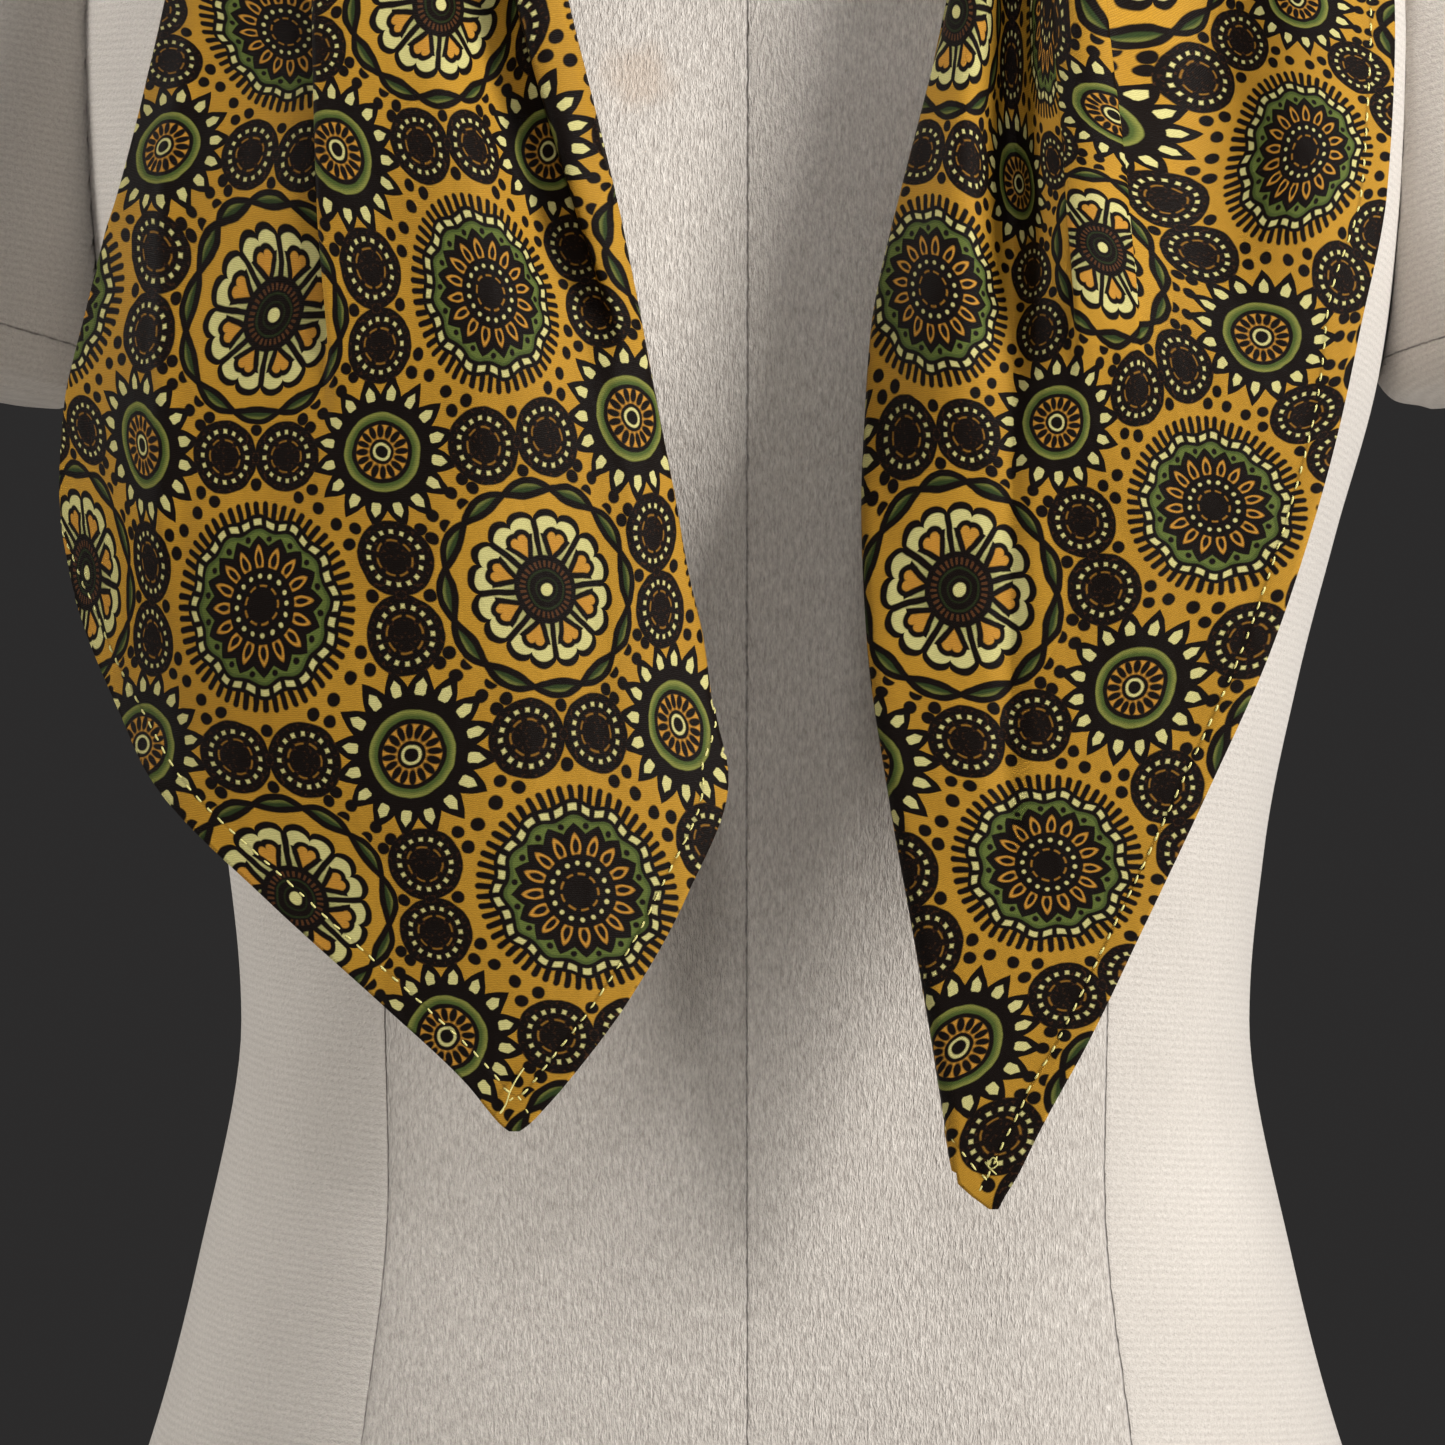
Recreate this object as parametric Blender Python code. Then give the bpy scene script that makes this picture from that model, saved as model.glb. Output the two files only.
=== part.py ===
"""A square printed scarf, folded on the bias and worn round the neck of a padded dress form.

Metres, +Z up, front towards -Y. The form stands on its flat base at z = 0. The scarf lies round the back of
the neck in a folded band, and its two open corners hang down in front. The cloth is a wall of constant
thickness, laid through level sections whose widths, returns and folds are worked out from the tables below.
"""

from collections import namedtuple

import bmesh
import bpy
import numpy as np
from mathutils import Vector
from mathutils.bvhtree import BVHTree

# Driving dimensions
FORM_RINGS = 34
FORM_AROUND = 40
ARM_AROUND = 18
CLOTH_WALL = 0.0012
SEAM_GAP = 0.0004
CLOTH_TO_FORM = 0.0020
FOLD_RADIUS = 0.0030
RETURN_SPREAD = 0.002
SPREAD_RUN = 0.020
PLEAT_RADIUS = 0.0013

# The folded band behind the neck: the row of the form's table under its middle at the sides and behind, its
# size, the height of its edges and of its crown, its soft pleats, and the points round each of its sections
BAND_PLACE = 18.45
BAND_PLACE_BEHIND = 18.20
BAND_HALF_WIDTH = 0.029
BAND_CLEARANCE = 0.0008
BAND_EDGE = 0.0022
BAND_CROWN = 0.0080
BAND_PLEATS = 5
BAND_PLEAT_HEIGHT = 0.0009
BAND_STATIONS = 23
BAND_TOP_POINTS = 12
BAND_UNDER_POINTS = 7

# The form, section by section from its base to the top of its neck: height, half width, depth in front of
# and behind the middle, how much higher the back of the ring lies, and how square its sides are.
Section = namedtuple("Section", "z half_width front back rise squareness")
FORM = (
    Section(0.000, 0.154, 0.088, 0.104, 0.000, 2.3),
    Section(0.006, 0.160, 0.094, 0.110, 0.000, 2.3),
    Section(0.030, 0.166, 0.098, 0.118, 0.000, 2.3),
    Section(0.065, 0.168, 0.102, 0.122, 0.000, 2.3),
    Section(0.110, 0.158, 0.104, 0.114, 0.000, 2.3),
    Section(0.149, 0.1418, 0.102, 0.103, 0.000, 2.3),
    Section(0.195, 0.1295, 0.097, 0.092, 0.000, 2.3),
    Section(0.250, 0.1195, 0.092, 0.084, 0.000, 2.3),
    Section(0.291, 0.1230, 0.095, 0.086, 0.000, 2.3),
    Section(0.330, 0.1305, 0.101, 0.092, 0.000, 2.4),
    Section(0.365, 0.1395, 0.106, 0.098, 0.000, 2.4),
    Section(0.404, 0.1500, 0.110, 0.104, 0.000, 2.4),
    Section(0.450, 0.1560, 0.107, 0.108, 0.000, 2.4),
    Section(0.500, 0.1600, 0.097, 0.110, 0.000, 2.4),
    Section(0.545, 0.1620, 0.084, 0.106, 0.002, 2.4),
    Section(0.580, 0.1600, 0.070, 0.097, 0.005, 2.4),
    Section(0.602, 0.1500, 0.060, 0.087, 0.008, 2.3),
    Section(0.618, 0.1300, 0.054, 0.077, 0.010, 2.2),
    Section(0.632, 0.1020, 0.050, 0.068, 0.012, 2.1),
    Section(0.646, 0.0740, 0.048, 0.060, 0.013, 2.0),
    Section(0.664, 0.0590, 0.047, 0.053, 0.011, 2.0),
    Section(0.690, 0.0530, 0.047, 0.050, 0.007, 2.0),
    Section(0.720, 0.0520, 0.048, 0.050, 0.003, 2.0),
)
BUST_X = 0.078
BUST_Z = 0.418
BUST_RISE = 0.030
BUST_SPREAD = 0.046
BUST_ABOVE = 0.062
BUST_BELOW = 0.040
BUST_FRONT = 0.5

# An arm stub, from inside the shoulder to its padded end: distance down its axis and radius.
ArmRing = namedtuple("ArmRing", "along radius")
ARM = (
    ArmRing(-0.046, 0.010),
    ArmRing(-0.040, 0.026),
    ArmRing(-0.024, 0.040),
    ArmRing(0.000, 0.047),
    ArmRing(0.040, 0.047),
    ArmRing(0.080, 0.0455),
    ArmRing(0.120, 0.0440),
    ArmRing(0.150, 0.0428),
    ArmRing(0.159, 0.0395),
    ArmRing(0.162, 0.0335),
)
ARM_TOP = (0.1560, 0.004, 0.562)
ARM_END = (0.1930, -0.002, 0.405)

# The spine of both hanging ends, from the lowest level to the top of the shoulder: where it runs, and how
# far the outer side of a section there lies below its inner side, for each metre across.
Spine = namedtuple("Spine", "y z drop")
SPINE = (
    Spine(-0.1380, 0.216, 0.0),
    Spine(-0.1410, 0.270, 0.0),
    Spine(-0.1460, 0.340, 0.0),
    Spine(-0.1490, 0.400, 0.0),
    Spine(-0.1485, 0.430, 0.0),
    Spine(-0.1430, 0.465, 0.0),
    Spine(-0.1330, 0.500, 0.0),
    Spine(-0.1170, 0.540, 0.05),
    Spine(-0.0960, 0.580, 0.14),
    Spine(-0.0740, 0.610, 0.26),
    Spine(-0.0480, 0.632, 0.36),
    Spine(-0.0240, 0.642, 0.42),
    Spine(0.0000, 0.646, 0.44),
)

# The front outline of each end, level by level. left and right are its edges as seen from the front, the
# returns are how far the cloth runs on behind after each edge, and the turns are how far the cloth beside
# each edge has curved back from the front.
Level = namedtuple("Level", "z left right left_return right_return left_turn right_turn")
OPEN_CORNER = (
    Level(0.2340, -0.0530, -0.0470, 0.000, 0.000, 0.000, 0.000),
    Level(0.2380, -0.0560, -0.0442, 0.000, 0.000, 0.000, 0.000),
    Level(0.2430, -0.0600, -0.0398, 0.000, 0.000, 0.000, 0.000),
    Level(0.2605, -0.0785, -0.0265, 0.000, 0.000, 0.000, 0.002),
    Level(0.2830, -0.1035, -0.0137, 0.000, 0.000, 0.002, 0.006),
    Level(0.3075, -0.1285, -0.0046, 0.000, 0.000, 0.010, 0.012),
    Level(0.3210, -0.1360, -0.0064, 0.000, 0.008, 0.018, 0.014),
    Level(0.3380, -0.1442, -0.0086, 0.000, 0.020, 0.028, 0.015),
    Level(0.3530, -0.1492, -0.0118, 0.004, 0.030, 0.034, 0.015),
    Level(0.3700, -0.1525, -0.0146, 0.012, 0.036, 0.038, 0.015),
    Level(0.3890, -0.1512, -0.0183, 0.020, 0.038, 0.036, 0.014),
    Level(0.4140, -0.1453, -0.0236, 0.026, 0.036, 0.030, 0.011),
    Level(0.4420, -0.1377, -0.0296, 0.028, 0.034, 0.022, 0.008),
    Level(0.4800, -0.1284, -0.0389, 0.026, 0.030, 0.013, 0.005),
    Level(0.5200, -0.1215, -0.0470, 0.024, 0.028, 0.008, 0.003),
    Level(0.5650, -0.1180, -0.0550, 0.020, 0.024, 0.003, 0.001),
    Level(0.6100, -0.1170, -0.0590, 0.018, 0.022, 0.000, 0.000),
    Level(0.6460, -0.1160, -0.0580, 0.018, 0.022, 0.000, 0.000),
)
FOLDED_CORNER = (
    Level(0.2185, 0.0498, 0.0558, 0.000, 0.000, 0.000, 0.000),
    Level(0.2230, 0.0450, 0.0578, 0.002, 0.000, 0.000, 0.000),
    Level(0.2300, 0.0436, 0.0612, 0.008, 0.000, 0.000, 0.000),
    Level(0.2376, 0.0423, 0.0651, 0.015, 0.000, 0.000, 0.000),
    Level(0.2520, 0.0397, 0.0730, 0.025, 0.000, 0.001, 0.000),
    Level(0.2750, 0.0356, 0.0841, 0.038, 0.000, 0.002, 0.001),
    Level(0.3060, 0.0300, 0.0987, 0.056, 0.000, 0.003, 0.002),
    Level(0.3380, 0.0254, 0.1128, 0.070, 0.000, 0.005, 0.003),
    Level(0.3685, 0.0239, 0.1227, 0.074, 0.000, 0.008, 0.004),
    Level(0.3870, 0.0245, 0.1275, 0.074, 0.006, 0.011, 0.005),
    Level(0.4050, 0.0256, 0.1313, 0.071, 0.012, 0.013, 0.006),
    Level(0.4356, 0.0318, 0.1374, 0.064, 0.018, 0.013, 0.007),
    Level(0.4804, 0.0433, 0.1400, 0.054, 0.022, 0.009, 0.007),
    Level(0.5200, 0.0520, 0.1350, 0.042, 0.022, 0.005, 0.005),
    Level(0.5650, 0.0570, 0.1250, 0.030, 0.020, 0.002, 0.002),
    Level(0.6100, 0.0585, 0.1180, 0.024, 0.018, 0.000, 0.000),
    Level(0.6460, 0.0580, 0.1160, 0.022, 0.018, 0.000, 0.000),
)
TURN_WIDTH = 0.046

# The folds that run down each end, from left to right: where each begins and ends, how far the front stands
# out there (or, if negative, sinks), its half width, how far a pleat tucks under the cloth beside it (a
# positive tuck puts the right-hand side on top), the columns of cloth between it and the last fold that has
# any, and where it runs at each of the fold levels. A fold with no columns is a soft wave.
FOLD_LEVELS = (0.30, 0.36, 0.40, 0.43, 0.48, 0.56, 0.64)
Fold = namedtuple("Fold", "name top foot depth half_width tuck columns at_levels")
OPEN_FOLDS = (
    Fold("outer_crease", 0.50, 0.325, 0.0024, 0.0045, 0.0, 4,
         (-0.1130, -0.1270, -0.1280, -0.1275, -0.1205, -0.1115, -0.1085)),
    Fold("outer_trough", 0.50, 0.320, -0.0028, 0.0090, 0.0, 0,
         (-0.1060, -0.1080, -0.1090, -0.1095, -0.1060, -0.1020, -0.1010)),
    Fold("main_pleat", 0.70, 0.380, 0.0, 0.0, 0.008, 5,
         (-0.0860, -0.0880, -0.0896, -0.0920, -0.0938, -0.0950, -0.0960)),
    Fold("shoulder_gather", 0.70, 0.500, -0.0030, 0.0050, 0.0, 0,
         (-0.0700, -0.0700, -0.0700, -0.0720, -0.0760, -0.0830, -0.0850)),
    Fold("middle_swell", 0.43, 0.235, 0.0028, 0.0160, 0.0, 0,
         (-0.0620, -0.0660, -0.0700, -0.0740, -0.0780, -0.0780, -0.0780)),
    Fold("inner_valley", 0.66, 0.370, -0.0065, 0.0055, 0.0, 0,
         (-0.0340, -0.0340, -0.0360, -0.0445, -0.0585, -0.0735, -0.0780)),
    Fold("inner_pleat", 0.70, 0.395, 0.0, 0.0, 0.003, 7,
         (-0.0240, -0.0235, -0.0275, -0.0365, -0.0505, -0.0655, -0.0700)),
    Fold("inner_ridge", 0.43, 0.300, 0.0030, 0.0050, 0.0, 0,
         (-0.0245, -0.0222, -0.0240, -0.0300, -0.0400, -0.0500, -0.0600)),
)
OPEN_LAST_COLUMNS = 4
FOLDED_FOLDS = (
    Fold("left_swell", 0.56, 0.340, 0.0030, 0.0080, 0.0, 0,
         (0.0400, 0.0400, 0.0410, 0.0430, 0.0480, 0.0560, 0.0600)),
    Fold("deep_valley", 0.66, 0.375, -0.0080, 0.0055, 0.0, 4,
         (0.0563, 0.0563, 0.0566, 0.0572, 0.0585, 0.0625, 0.0650)),
    Fold("long_crease", 0.42, 0.290, -0.0018, 0.0040, 0.0, 0,
         (0.0563, 0.0563, 0.0566, 0.0572, 0.0585, 0.0625, 0.0650)),
    Fold("over_pleat", 0.70, 0.385, 0.0, 0.0, 0.003, 3,
         (0.0690, 0.0700, 0.0700, 0.0680, 0.0655, 0.0705, 0.0730)),
    Fold("pinched_pleat", 0.52, 0.385, 0.0, 0.0, -0.002, 2,
         (0.0800, 0.0830, 0.0836, 0.0822, 0.0800, 0.0850, 0.0880)),
    Fold("low_ridge", 0.41, 0.320, 0.0022, 0.0070, 0.0, 0,
         (0.0800, 0.0820, 0.0830, 0.0830, 0.0830, 0.0830, 0.0860)),
    Fold("soft_trough", 0.56, 0.390, -0.0045, 0.0090, 0.0, 0,
         (0.1000, 0.1020, 0.1040, 0.1030, 0.1010, 0.0990, 0.0980)),
    Fold("outer_swell", 0.54, 0.390, 0.0028, 0.0110, 0.0, 0,
         (0.1120, 0.1140, 0.1180, 0.1200, 0.1200, 0.1140, 0.1080)),
)
FOLDED_LAST_COLUMNS = 8
WAVE_FADE = 0.060
PLEAT_FADE = 0.090
PLEAT_SETTLE = 0.028
FLAT_ARC = 0.0015
FLAT_LEG = 0.0008
FLAT_ARC_SHARE = 0.04
FLAT_LEG_SHARE = 0.02
EDGE_FADE = 0.012
UNDER_REACH = 0.012
UNDER_FADE = 0.009

# Columns in the bends of a pleat or return, in a pleat's leg and in the rest of a return
ARC_COLUMNS = 3
LEG_COLUMNS = 1
RETURN_COLUMNS = 3
LONG_RETURN_COLUMNS = 7
LONG_RETURN = 0.05

# Where a hem runs into a fold, the return behind begins at this length, round a bend in proportion to it
SHORT_RETURN = 0.005
BEND_SHARE = 0.28

# Rows of cloth up each end: how many lie below each level, and above the last one
ROW_ZONES = ((0.240, 2), (0.385, 12), (0.500, 10), (1.000, 8))

# How the cloth is lifted off the form: the places across a row where it is measured, how far round each place
# its layers are looked for, as a length and as a share of the row, and the rows and places smoothed together
LIFT_PLACES = 41
LIFT_REACH = 0.006
LIFT_SHARE = 0.05
LIFT_SMOOTHING = (3, 5)
RAY_START = 0.3

# Samples along a curve that is looked up
SAMPLES = 600

PALE_COVER = (0.72, 0.69, 0.65, 1.0)
MUSTARD_COTTON = (0.62, 0.36, 0.06, 1.0)


def smooth_curve(known_at, known, at):
    """Values on a smooth curve through known ones, which never overshoots them, held level past both ends."""
    known_at = np.asarray(known_at, float)
    known = np.asarray(known, float)
    at = np.clip(at, known_at[0], known_at[-1])
    step = np.diff(known_at)
    climb = np.diff(known) / step
    slope = np.zeros_like(known)
    same_way = climb[:-1] * climb[1:] > 0
    total = np.where(same_way, climb[:-1] + climb[1:], 1.0)
    slope[1:-1] = np.where(same_way, 2 * climb[:-1] * climb[1:] / total, 0.0)
    slope[0] = climb[0]
    slope[-1] = climb[-1]
    cell = np.clip(np.searchsorted(known_at, at) - 1, 0, len(step) - 1)
    width = step[cell]
    t = (at - known_at[cell]) / width
    start = known[cell] * (1 + 2 * t) * (1 - t) ** 2 + slope[cell] * width * t * (1 - t) ** 2
    end = known[cell + 1] * t * t * (3 - 2 * t) + slope[cell + 1] * width * t * t * (t - 1)
    return start + end


def column(table, name, at, along="z"):
    """A table's column at each place along another of its columns, or along its row numbers."""
    places = range(len(table)) if along == "row" else [getattr(row, along) for row in table]
    return smooth_curve(places, [getattr(row, name) for row in table], at)


def smooth_step(value):
    """0 below 0, 1 above 1, and an even S between."""
    t = np.clip(value, 0.0, 1.0)
    return t * t * (3 - 2 * t)


def run_along(x, y):
    """How far along a path each of its points lies."""
    return np.concatenate([[0], np.cumsum(np.hypot(np.diff(x), np.diff(y)))])


def form_point(place, angle):
    """Points on the form at rows of its table and angles round it: 0 at +X, a quarter turn at the back."""
    place, angle = np.broadcast_arrays(np.asarray(place, float), np.asarray(angle, float))
    half_width, front, back, rise, squareness, z = (
        column(FORM, name, place, "row") for name in ("half_width", "front", "back", "rise", "squareness", "z"))
    across = np.cos(angle)
    deep = np.sin(angle)
    x = half_width * np.sign(across) * np.abs(across) ** (2 / squareness)
    y = np.where(deep > 0, back, front) * np.sign(deep) * np.abs(deep) ** (2 / squareness)
    z = z + rise * deep
    spread = np.where(z > BUST_Z, BUST_ABOVE, BUST_BELOW)
    swell = np.exp(-0.5 * ((np.abs(x) - BUST_X) / BUST_SPREAD) ** 2 - 0.5 * ((z - BUST_Z) / spread) ** 2)
    y = y - BUST_RISE * swell * smooth_step(-deep / BUST_FRONT)
    return np.stack([x, y, z], axis=-1)


def form_normal(place, angle):
    """Unit outward directions of the form's surface."""
    small = 1e-3
    up = form_point(place + small, angle) - form_point(place - small, angle)
    round_it = form_point(place, angle + small) - form_point(place, angle - small)
    normal = np.cross(round_it, up)
    return normal / np.linalg.norm(normal, axis=-1, keepdims=True)


def grid_faces(rows, columns, closed):
    """Quads over a grid of points, which closes round each row if asked."""
    last = columns if closed else columns - 1
    faces = []
    for row in range(rows - 1):
        for col in range(last):
            beside = (col + 1) % columns
            faces.append((row * columns + col, row * columns + beside,
                          (row + 1) * columns + beside, (row + 1) * columns + col))
    return faces


def new_object(name, points, faces, material):
    """A mesh object with its faces turned outwards and its round places shaded smooth."""
    mesh = bpy.data.meshes.new(name)
    mesh.from_pydata([tuple(p) for p in points], [], faces)
    shape = bmesh.new()
    shape.from_mesh(mesh)
    bmesh.ops.recalc_face_normals(shape, faces=shape.faces)
    shape.to_mesh(mesh)
    shape.free()
    mesh.shade_smooth()
    mesh.set_sharp_from_angle(angle=np.radians(50))
    mesh.materials.append(material)
    obj = bpy.data.objects.new(name, mesh)
    bpy.context.scene.collection.objects.link(obj)
    return obj


def ring_solid(name, rings, material):
    """A closed solid through rings of points, with a flat cap over each end."""
    rows, around = rings.shape[:2]
    faces = grid_faces(rows, around, closed=True)
    faces.append(tuple(range(around))[::-1])
    faces.append(tuple(range((rows - 1) * around, rows * around)))
    return new_object(name, rings.reshape(-1, 3), faces, material)


def sheet_solid(name, grid, material):
    """A wall of cloth: the grid moved out and in by half the wall, joined round its edges.

    The grid holds no numbers where a row has no return.
    """
    rows, columns = grid.shape[:2]
    points = grid.reshape(-1, 3)
    number = np.full(rows * columns, -1)
    real = np.isfinite(points[:, 0])
    number[real] = np.arange(real.sum())
    quads = np.array(grid_faces(rows, columns, closed=False))
    quads = quads[real[quads].all(axis=1)]
    facing = np.cross(points[quads[:, 2]] - points[quads[:, 0]], points[quads[:, 3]] - points[quads[:, 1]])
    facing /= np.linalg.norm(facing, axis=1, keepdims=True)
    normal = np.zeros_like(points)
    for corner in range(4):
        np.add.at(normal, quads[:, corner], facing)
    points, normal, quads = points[real], normal[real], number[quads]
    normal /= np.linalg.norm(normal, axis=1, keepdims=True)
    under = len(points)
    faces = [tuple(quad) for quad in quads] + [tuple(under + quad[::-1]) for quad in quads]
    sides = {(quad[i], quad[(i + 1) % 4]) for quad in quads for i in range(4)}
    for here, ahead in sorted(sides):
        if (ahead, here) not in sides:
            faces.append((ahead, here, under + here, under + ahead))
    walls = np.concatenate([points + normal * CLOTH_WALL / 2, points - normal * CLOTH_WALL / 2])
    return new_object(name, walls, faces, material)


def make_material(name, colour, roughness):
    material = bpy.data.materials.new(name)
    material.use_nodes = True
    shader = material.node_tree.nodes["Principled BSDF"]
    shader.inputs["Base Color"].default_value = colour
    shader.inputs["Roughness"].default_value = roughness
    shader.inputs["Metallic"].default_value = 0.0
    return material


def make_torso(material):
    places = np.linspace(0, len(FORM) - 1, FORM_RINGS)
    angles = np.linspace(0, 2 * np.pi, FORM_AROUND, endpoint=False)
    return ring_solid("form_torso", form_point(places[:, None], angles[None, :]), material)


def make_arm(name, side, torso, material):
    """A padded stub beside the shoulder, cut back so that it stays just clear of the torso."""
    top = np.array(ARM_TOP) * (side, 1, 1)
    axis = np.array(ARM_END) * (side, 1, 1) - top
    axis /= np.linalg.norm(axis)
    forward = np.array([0.0, -1.0, 0.0])
    forward -= axis * forward.dot(axis)
    forward /= np.linalg.norm(forward)
    sideways = np.cross(axis, forward)
    angles = np.linspace(0, 2 * np.pi, ARM_AROUND, endpoint=False)
    round_it = np.cos(angles)[:, None] * forward + np.sin(angles)[:, None] * sideways
    rings = np.array([top + axis * ring.along + round_it * ring.radius for ring in ARM])
    arm = ring_solid(name, rings, material)
    cutter = bpy.data.objects.new(name + "_cutter", torso.data.copy())
    bpy.context.scene.collection.objects.link(cutter)
    for vertex in cutter.data.vertices:
        vertex.co += vertex.normal * SEAM_GAP
    cutter.hide_render = True
    cutter.display_type = "WIRE"
    cut = arm.modifiers.new("clear_of_torso", "BOOLEAN")
    cut.operation = "DIFFERENCE"
    cut.solver = "EXACT"
    cut.object = cutter


def make_band(material):
    """The folded band behind the neck: a pleated strap laid on the form from shoulder to shoulder."""
    places = np.linspace(len(FORM) - 9, len(FORM) - 1, SAMPLES)
    over = np.linspace(1, -1, BAND_TOP_POINTS + 2)[1:-1]
    under = np.linspace(-1, 1, BAND_UNDER_POINTS)
    share = np.concatenate([under, over])
    top = BAND_EDGE + BAND_CROWN * (1 - np.abs(over) ** 3) ** 0.5
    top += BAND_PLEAT_HEIGHT * np.cos(over * np.pi * BAND_PLEATS)
    height = BAND_CLEARANCE + np.concatenate([np.zeros_like(under), top])
    rings = []
    for angle in np.linspace(0, np.pi, BAND_STATIONS):
        across = form_point(places, angle)
        run = np.concatenate([[0], np.cumsum(np.linalg.norm(np.diff(across, axis=0), axis=1))])
        place = BAND_PLACE + (BAND_PLACE_BEHIND - BAND_PLACE) * np.sin(angle)
        at = np.interp(np.interp(place, places, run) + share * BAND_HALF_WIDTH, run, places)
        rings.append(form_point(at, angle) + form_normal(at, angle) * height[:, None])
    rings = np.array(rings)
    rings[[0, -1], :, 1] = 0.0
    return ring_solid("scarf_neck_band", rings, material)


def spine_at(heights):
    """The spine's y, outward direction and drop at each height."""
    fine = np.linspace(0, len(SPINE) - 1, SAMPLES)
    y, z, drop = (column(SPINE, name, fine, "row") for name in ("y", "z", "drop"))
    slope = np.interp(heights, z, np.gradient(y, z))
    size = np.hypot(slope, 1.0)
    outward = np.stack([0 * size, -1.0 / size, slope / size], axis=-1)
    return np.interp(heights, z, y), outward, np.interp(heights, z, drop)


def row_heights(lowest, highest):
    """Heights of an end's rows, evenly spaced along the spine in each zone."""
    fine = np.linspace(lowest, highest, SAMPLES)
    run = run_along(spine_at(fine)[0], fine)
    heights = [np.array([lowest])]
    start = 0.0
    for top, rows in ROW_ZONES:
        end = np.interp(min(top, highest), fine, run)
        heights.append(np.interp(np.linspace(start, end, rows + 1)[1:], run, fine))
        start = end
    return np.concatenate(heights)


def fold_place(fold, levels, z):
    """Where a fold runs at one level; below the lowest fold level it keeps its share of the width."""
    known = max(z, FOLD_LEVELS[0])
    left, right = (column(levels, side, known) for side in ("left", "right"))
    share = (smooth_curve(FOLD_LEVELS, fold.at_levels, known) - left) / (right - left)
    left, right = (column(levels, side, z) for side in ("left", "right"))
    return left + share * (right - left)


def wave_height(levels, folds, z, x):
    """How far the waves and creases of the front stand out at places across one level."""
    left, right = (column(levels, side, z) for side in ("left", "right"))
    out = np.zeros_like(x)
    for fold in folds:
        if fold.tuck == 0:
            strength = smooth_step((z - fold.foot) / WAVE_FADE) * smooth_step((fold.top - z) / WAVE_FADE)
            beside = (x - fold_place(fold, levels, z)) / fold.half_width
            out += strength * fold.depth * np.exp(-0.5 * beside**2)
    return out * smooth_step((x - left) / EDGE_FADE) * smooth_step((right - x) / EDGE_FADE)


def turn_back(levels, z, x):
    """How far the cloth beside the edges of one level has curved back."""
    left, right = (column(levels, side, z) for side in ("left", "right"))
    reach = min(TURN_WIDTH, (right - left) / 2)
    near_left = np.clip(1 - (x - left) / reach, 0, 1)
    near_right = np.clip(1 - (right - x) / reach, 0, 1)
    return column(levels, "left_turn", z) * near_left**2 + column(levels, "right_turn", z) * near_right**2


def pleat_steps(fold, z, width):
    """A knife pleat seen from above: the steps of its path, and how far its top bend lies beyond its edge.

    The cloth turns back on itself round two small bends. Towards the pleat's foot the overlap shrinks to
    nothing, and then the two bends open until the cloth is flat.
    """
    strength = np.clip((z - fold.foot) / PLEAT_FADE, 0, 1) * np.clip((fold.top - z) / PLEAT_FADE, 0, 1)
    turn = max(np.pi * smooth_step(2 * strength), 1e-6)
    arc = max(PLEAT_RADIUS * turn, min(FLAT_ARC, FLAT_ARC_SHARE * width))
    leg = max(abs(fold.tuck) * smooth_step(2 * strength - 1), min(FLAT_LEG, FLAT_LEG_SHARE * width))
    part_turn = turn * (np.arange(ARC_COLUMNS) + 0.5) / ARC_COLUMNS
    heading = np.concatenate([part_turn, np.full(LEG_COLUMNS, turn), part_turn[::-1]])
    bend = np.full(ARC_COLUMNS, arc / ARC_COLUMNS)
    lengths = np.concatenate([bend, np.full(LEG_COLUMNS, leg / LEG_COLUMNS), bend])
    beyond = arc / turn * np.sin(min(turn, np.pi / 2))
    return np.cumsum(lengths * np.cos(heading)), np.cumsum(lengths * np.sin(heading)), beyond, leg


def front_path(levels, folds, last_columns, z, x_start, x_end):
    """Points across the front of one level, pleats and all, from its left edge to its right one."""
    width = x_end - x_start
    x = [np.array([x_start])]
    out = [np.zeros(1)]
    count = 1
    here = x_start
    steps = []
    for fold in (fold for fold in folds if fold.columns):
        edge = fold_place(fold, levels, z)
        target = edge
        if fold.tuck:
            step_x, step_out, beyond, leg = pleat_steps(fold, z, width)
            target = edge + beyond - step_x[-1] if fold.tuck > 0 else edge - beyond
        x.append(np.linspace(here, target, fold.columns + 1)[1:])
        out.append(np.zeros(fold.columns))
        count += fold.columns
        here = target
        if fold.tuck:
            top = step_out[-1]
            x.append(here + step_x)
            out.append(step_out if fold.tuck > 0 else top - step_out)
            steps.append((fold.tuck > 0, edge, top, leg, count, count + len(step_x)))
            count += len(step_x)
            here += step_x[-1]
    x.append(np.linspace(here, x_end, last_columns + 1)[1:])
    out.append(np.zeros(last_columns))
    x, out = np.concatenate(x), np.concatenate(out)
    order = np.arange(len(x))
    for right_on_top, edge, top, leg, begin, end in steps:
        on_top = order >= end if right_on_top else order < begin
        hold = leg + 3 * PLEAT_RADIUS
        out += on_top * top * (1 - smooth_step((np.abs(x - edge) - hold) / PLEAT_SETTLE))
    return x, out


def lower_side(x, out):
    """A smooth curve under the waves of a front, which meets it at both edges."""
    reach = int(np.ceil(UNDER_REACH / (x[-1] - x[0]) * len(x)))
    windows = np.lib.stride_tricks.sliding_window_view(np.pad(out, reach, mode="edge"), 2 * reach + 1)
    lowest = np.pad(windows.min(axis=1), reach, mode="edge")
    smooth = np.lib.stride_tricks.sliding_window_view(lowest, 2 * reach + 1).mean(axis=1)
    inside = smooth_step((x - x[0]) / UNDER_FADE) * smooth_step((x[-1] - x) / UNDER_FADE)
    return out + (np.minimum(smooth, out) - out) * inside


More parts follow.
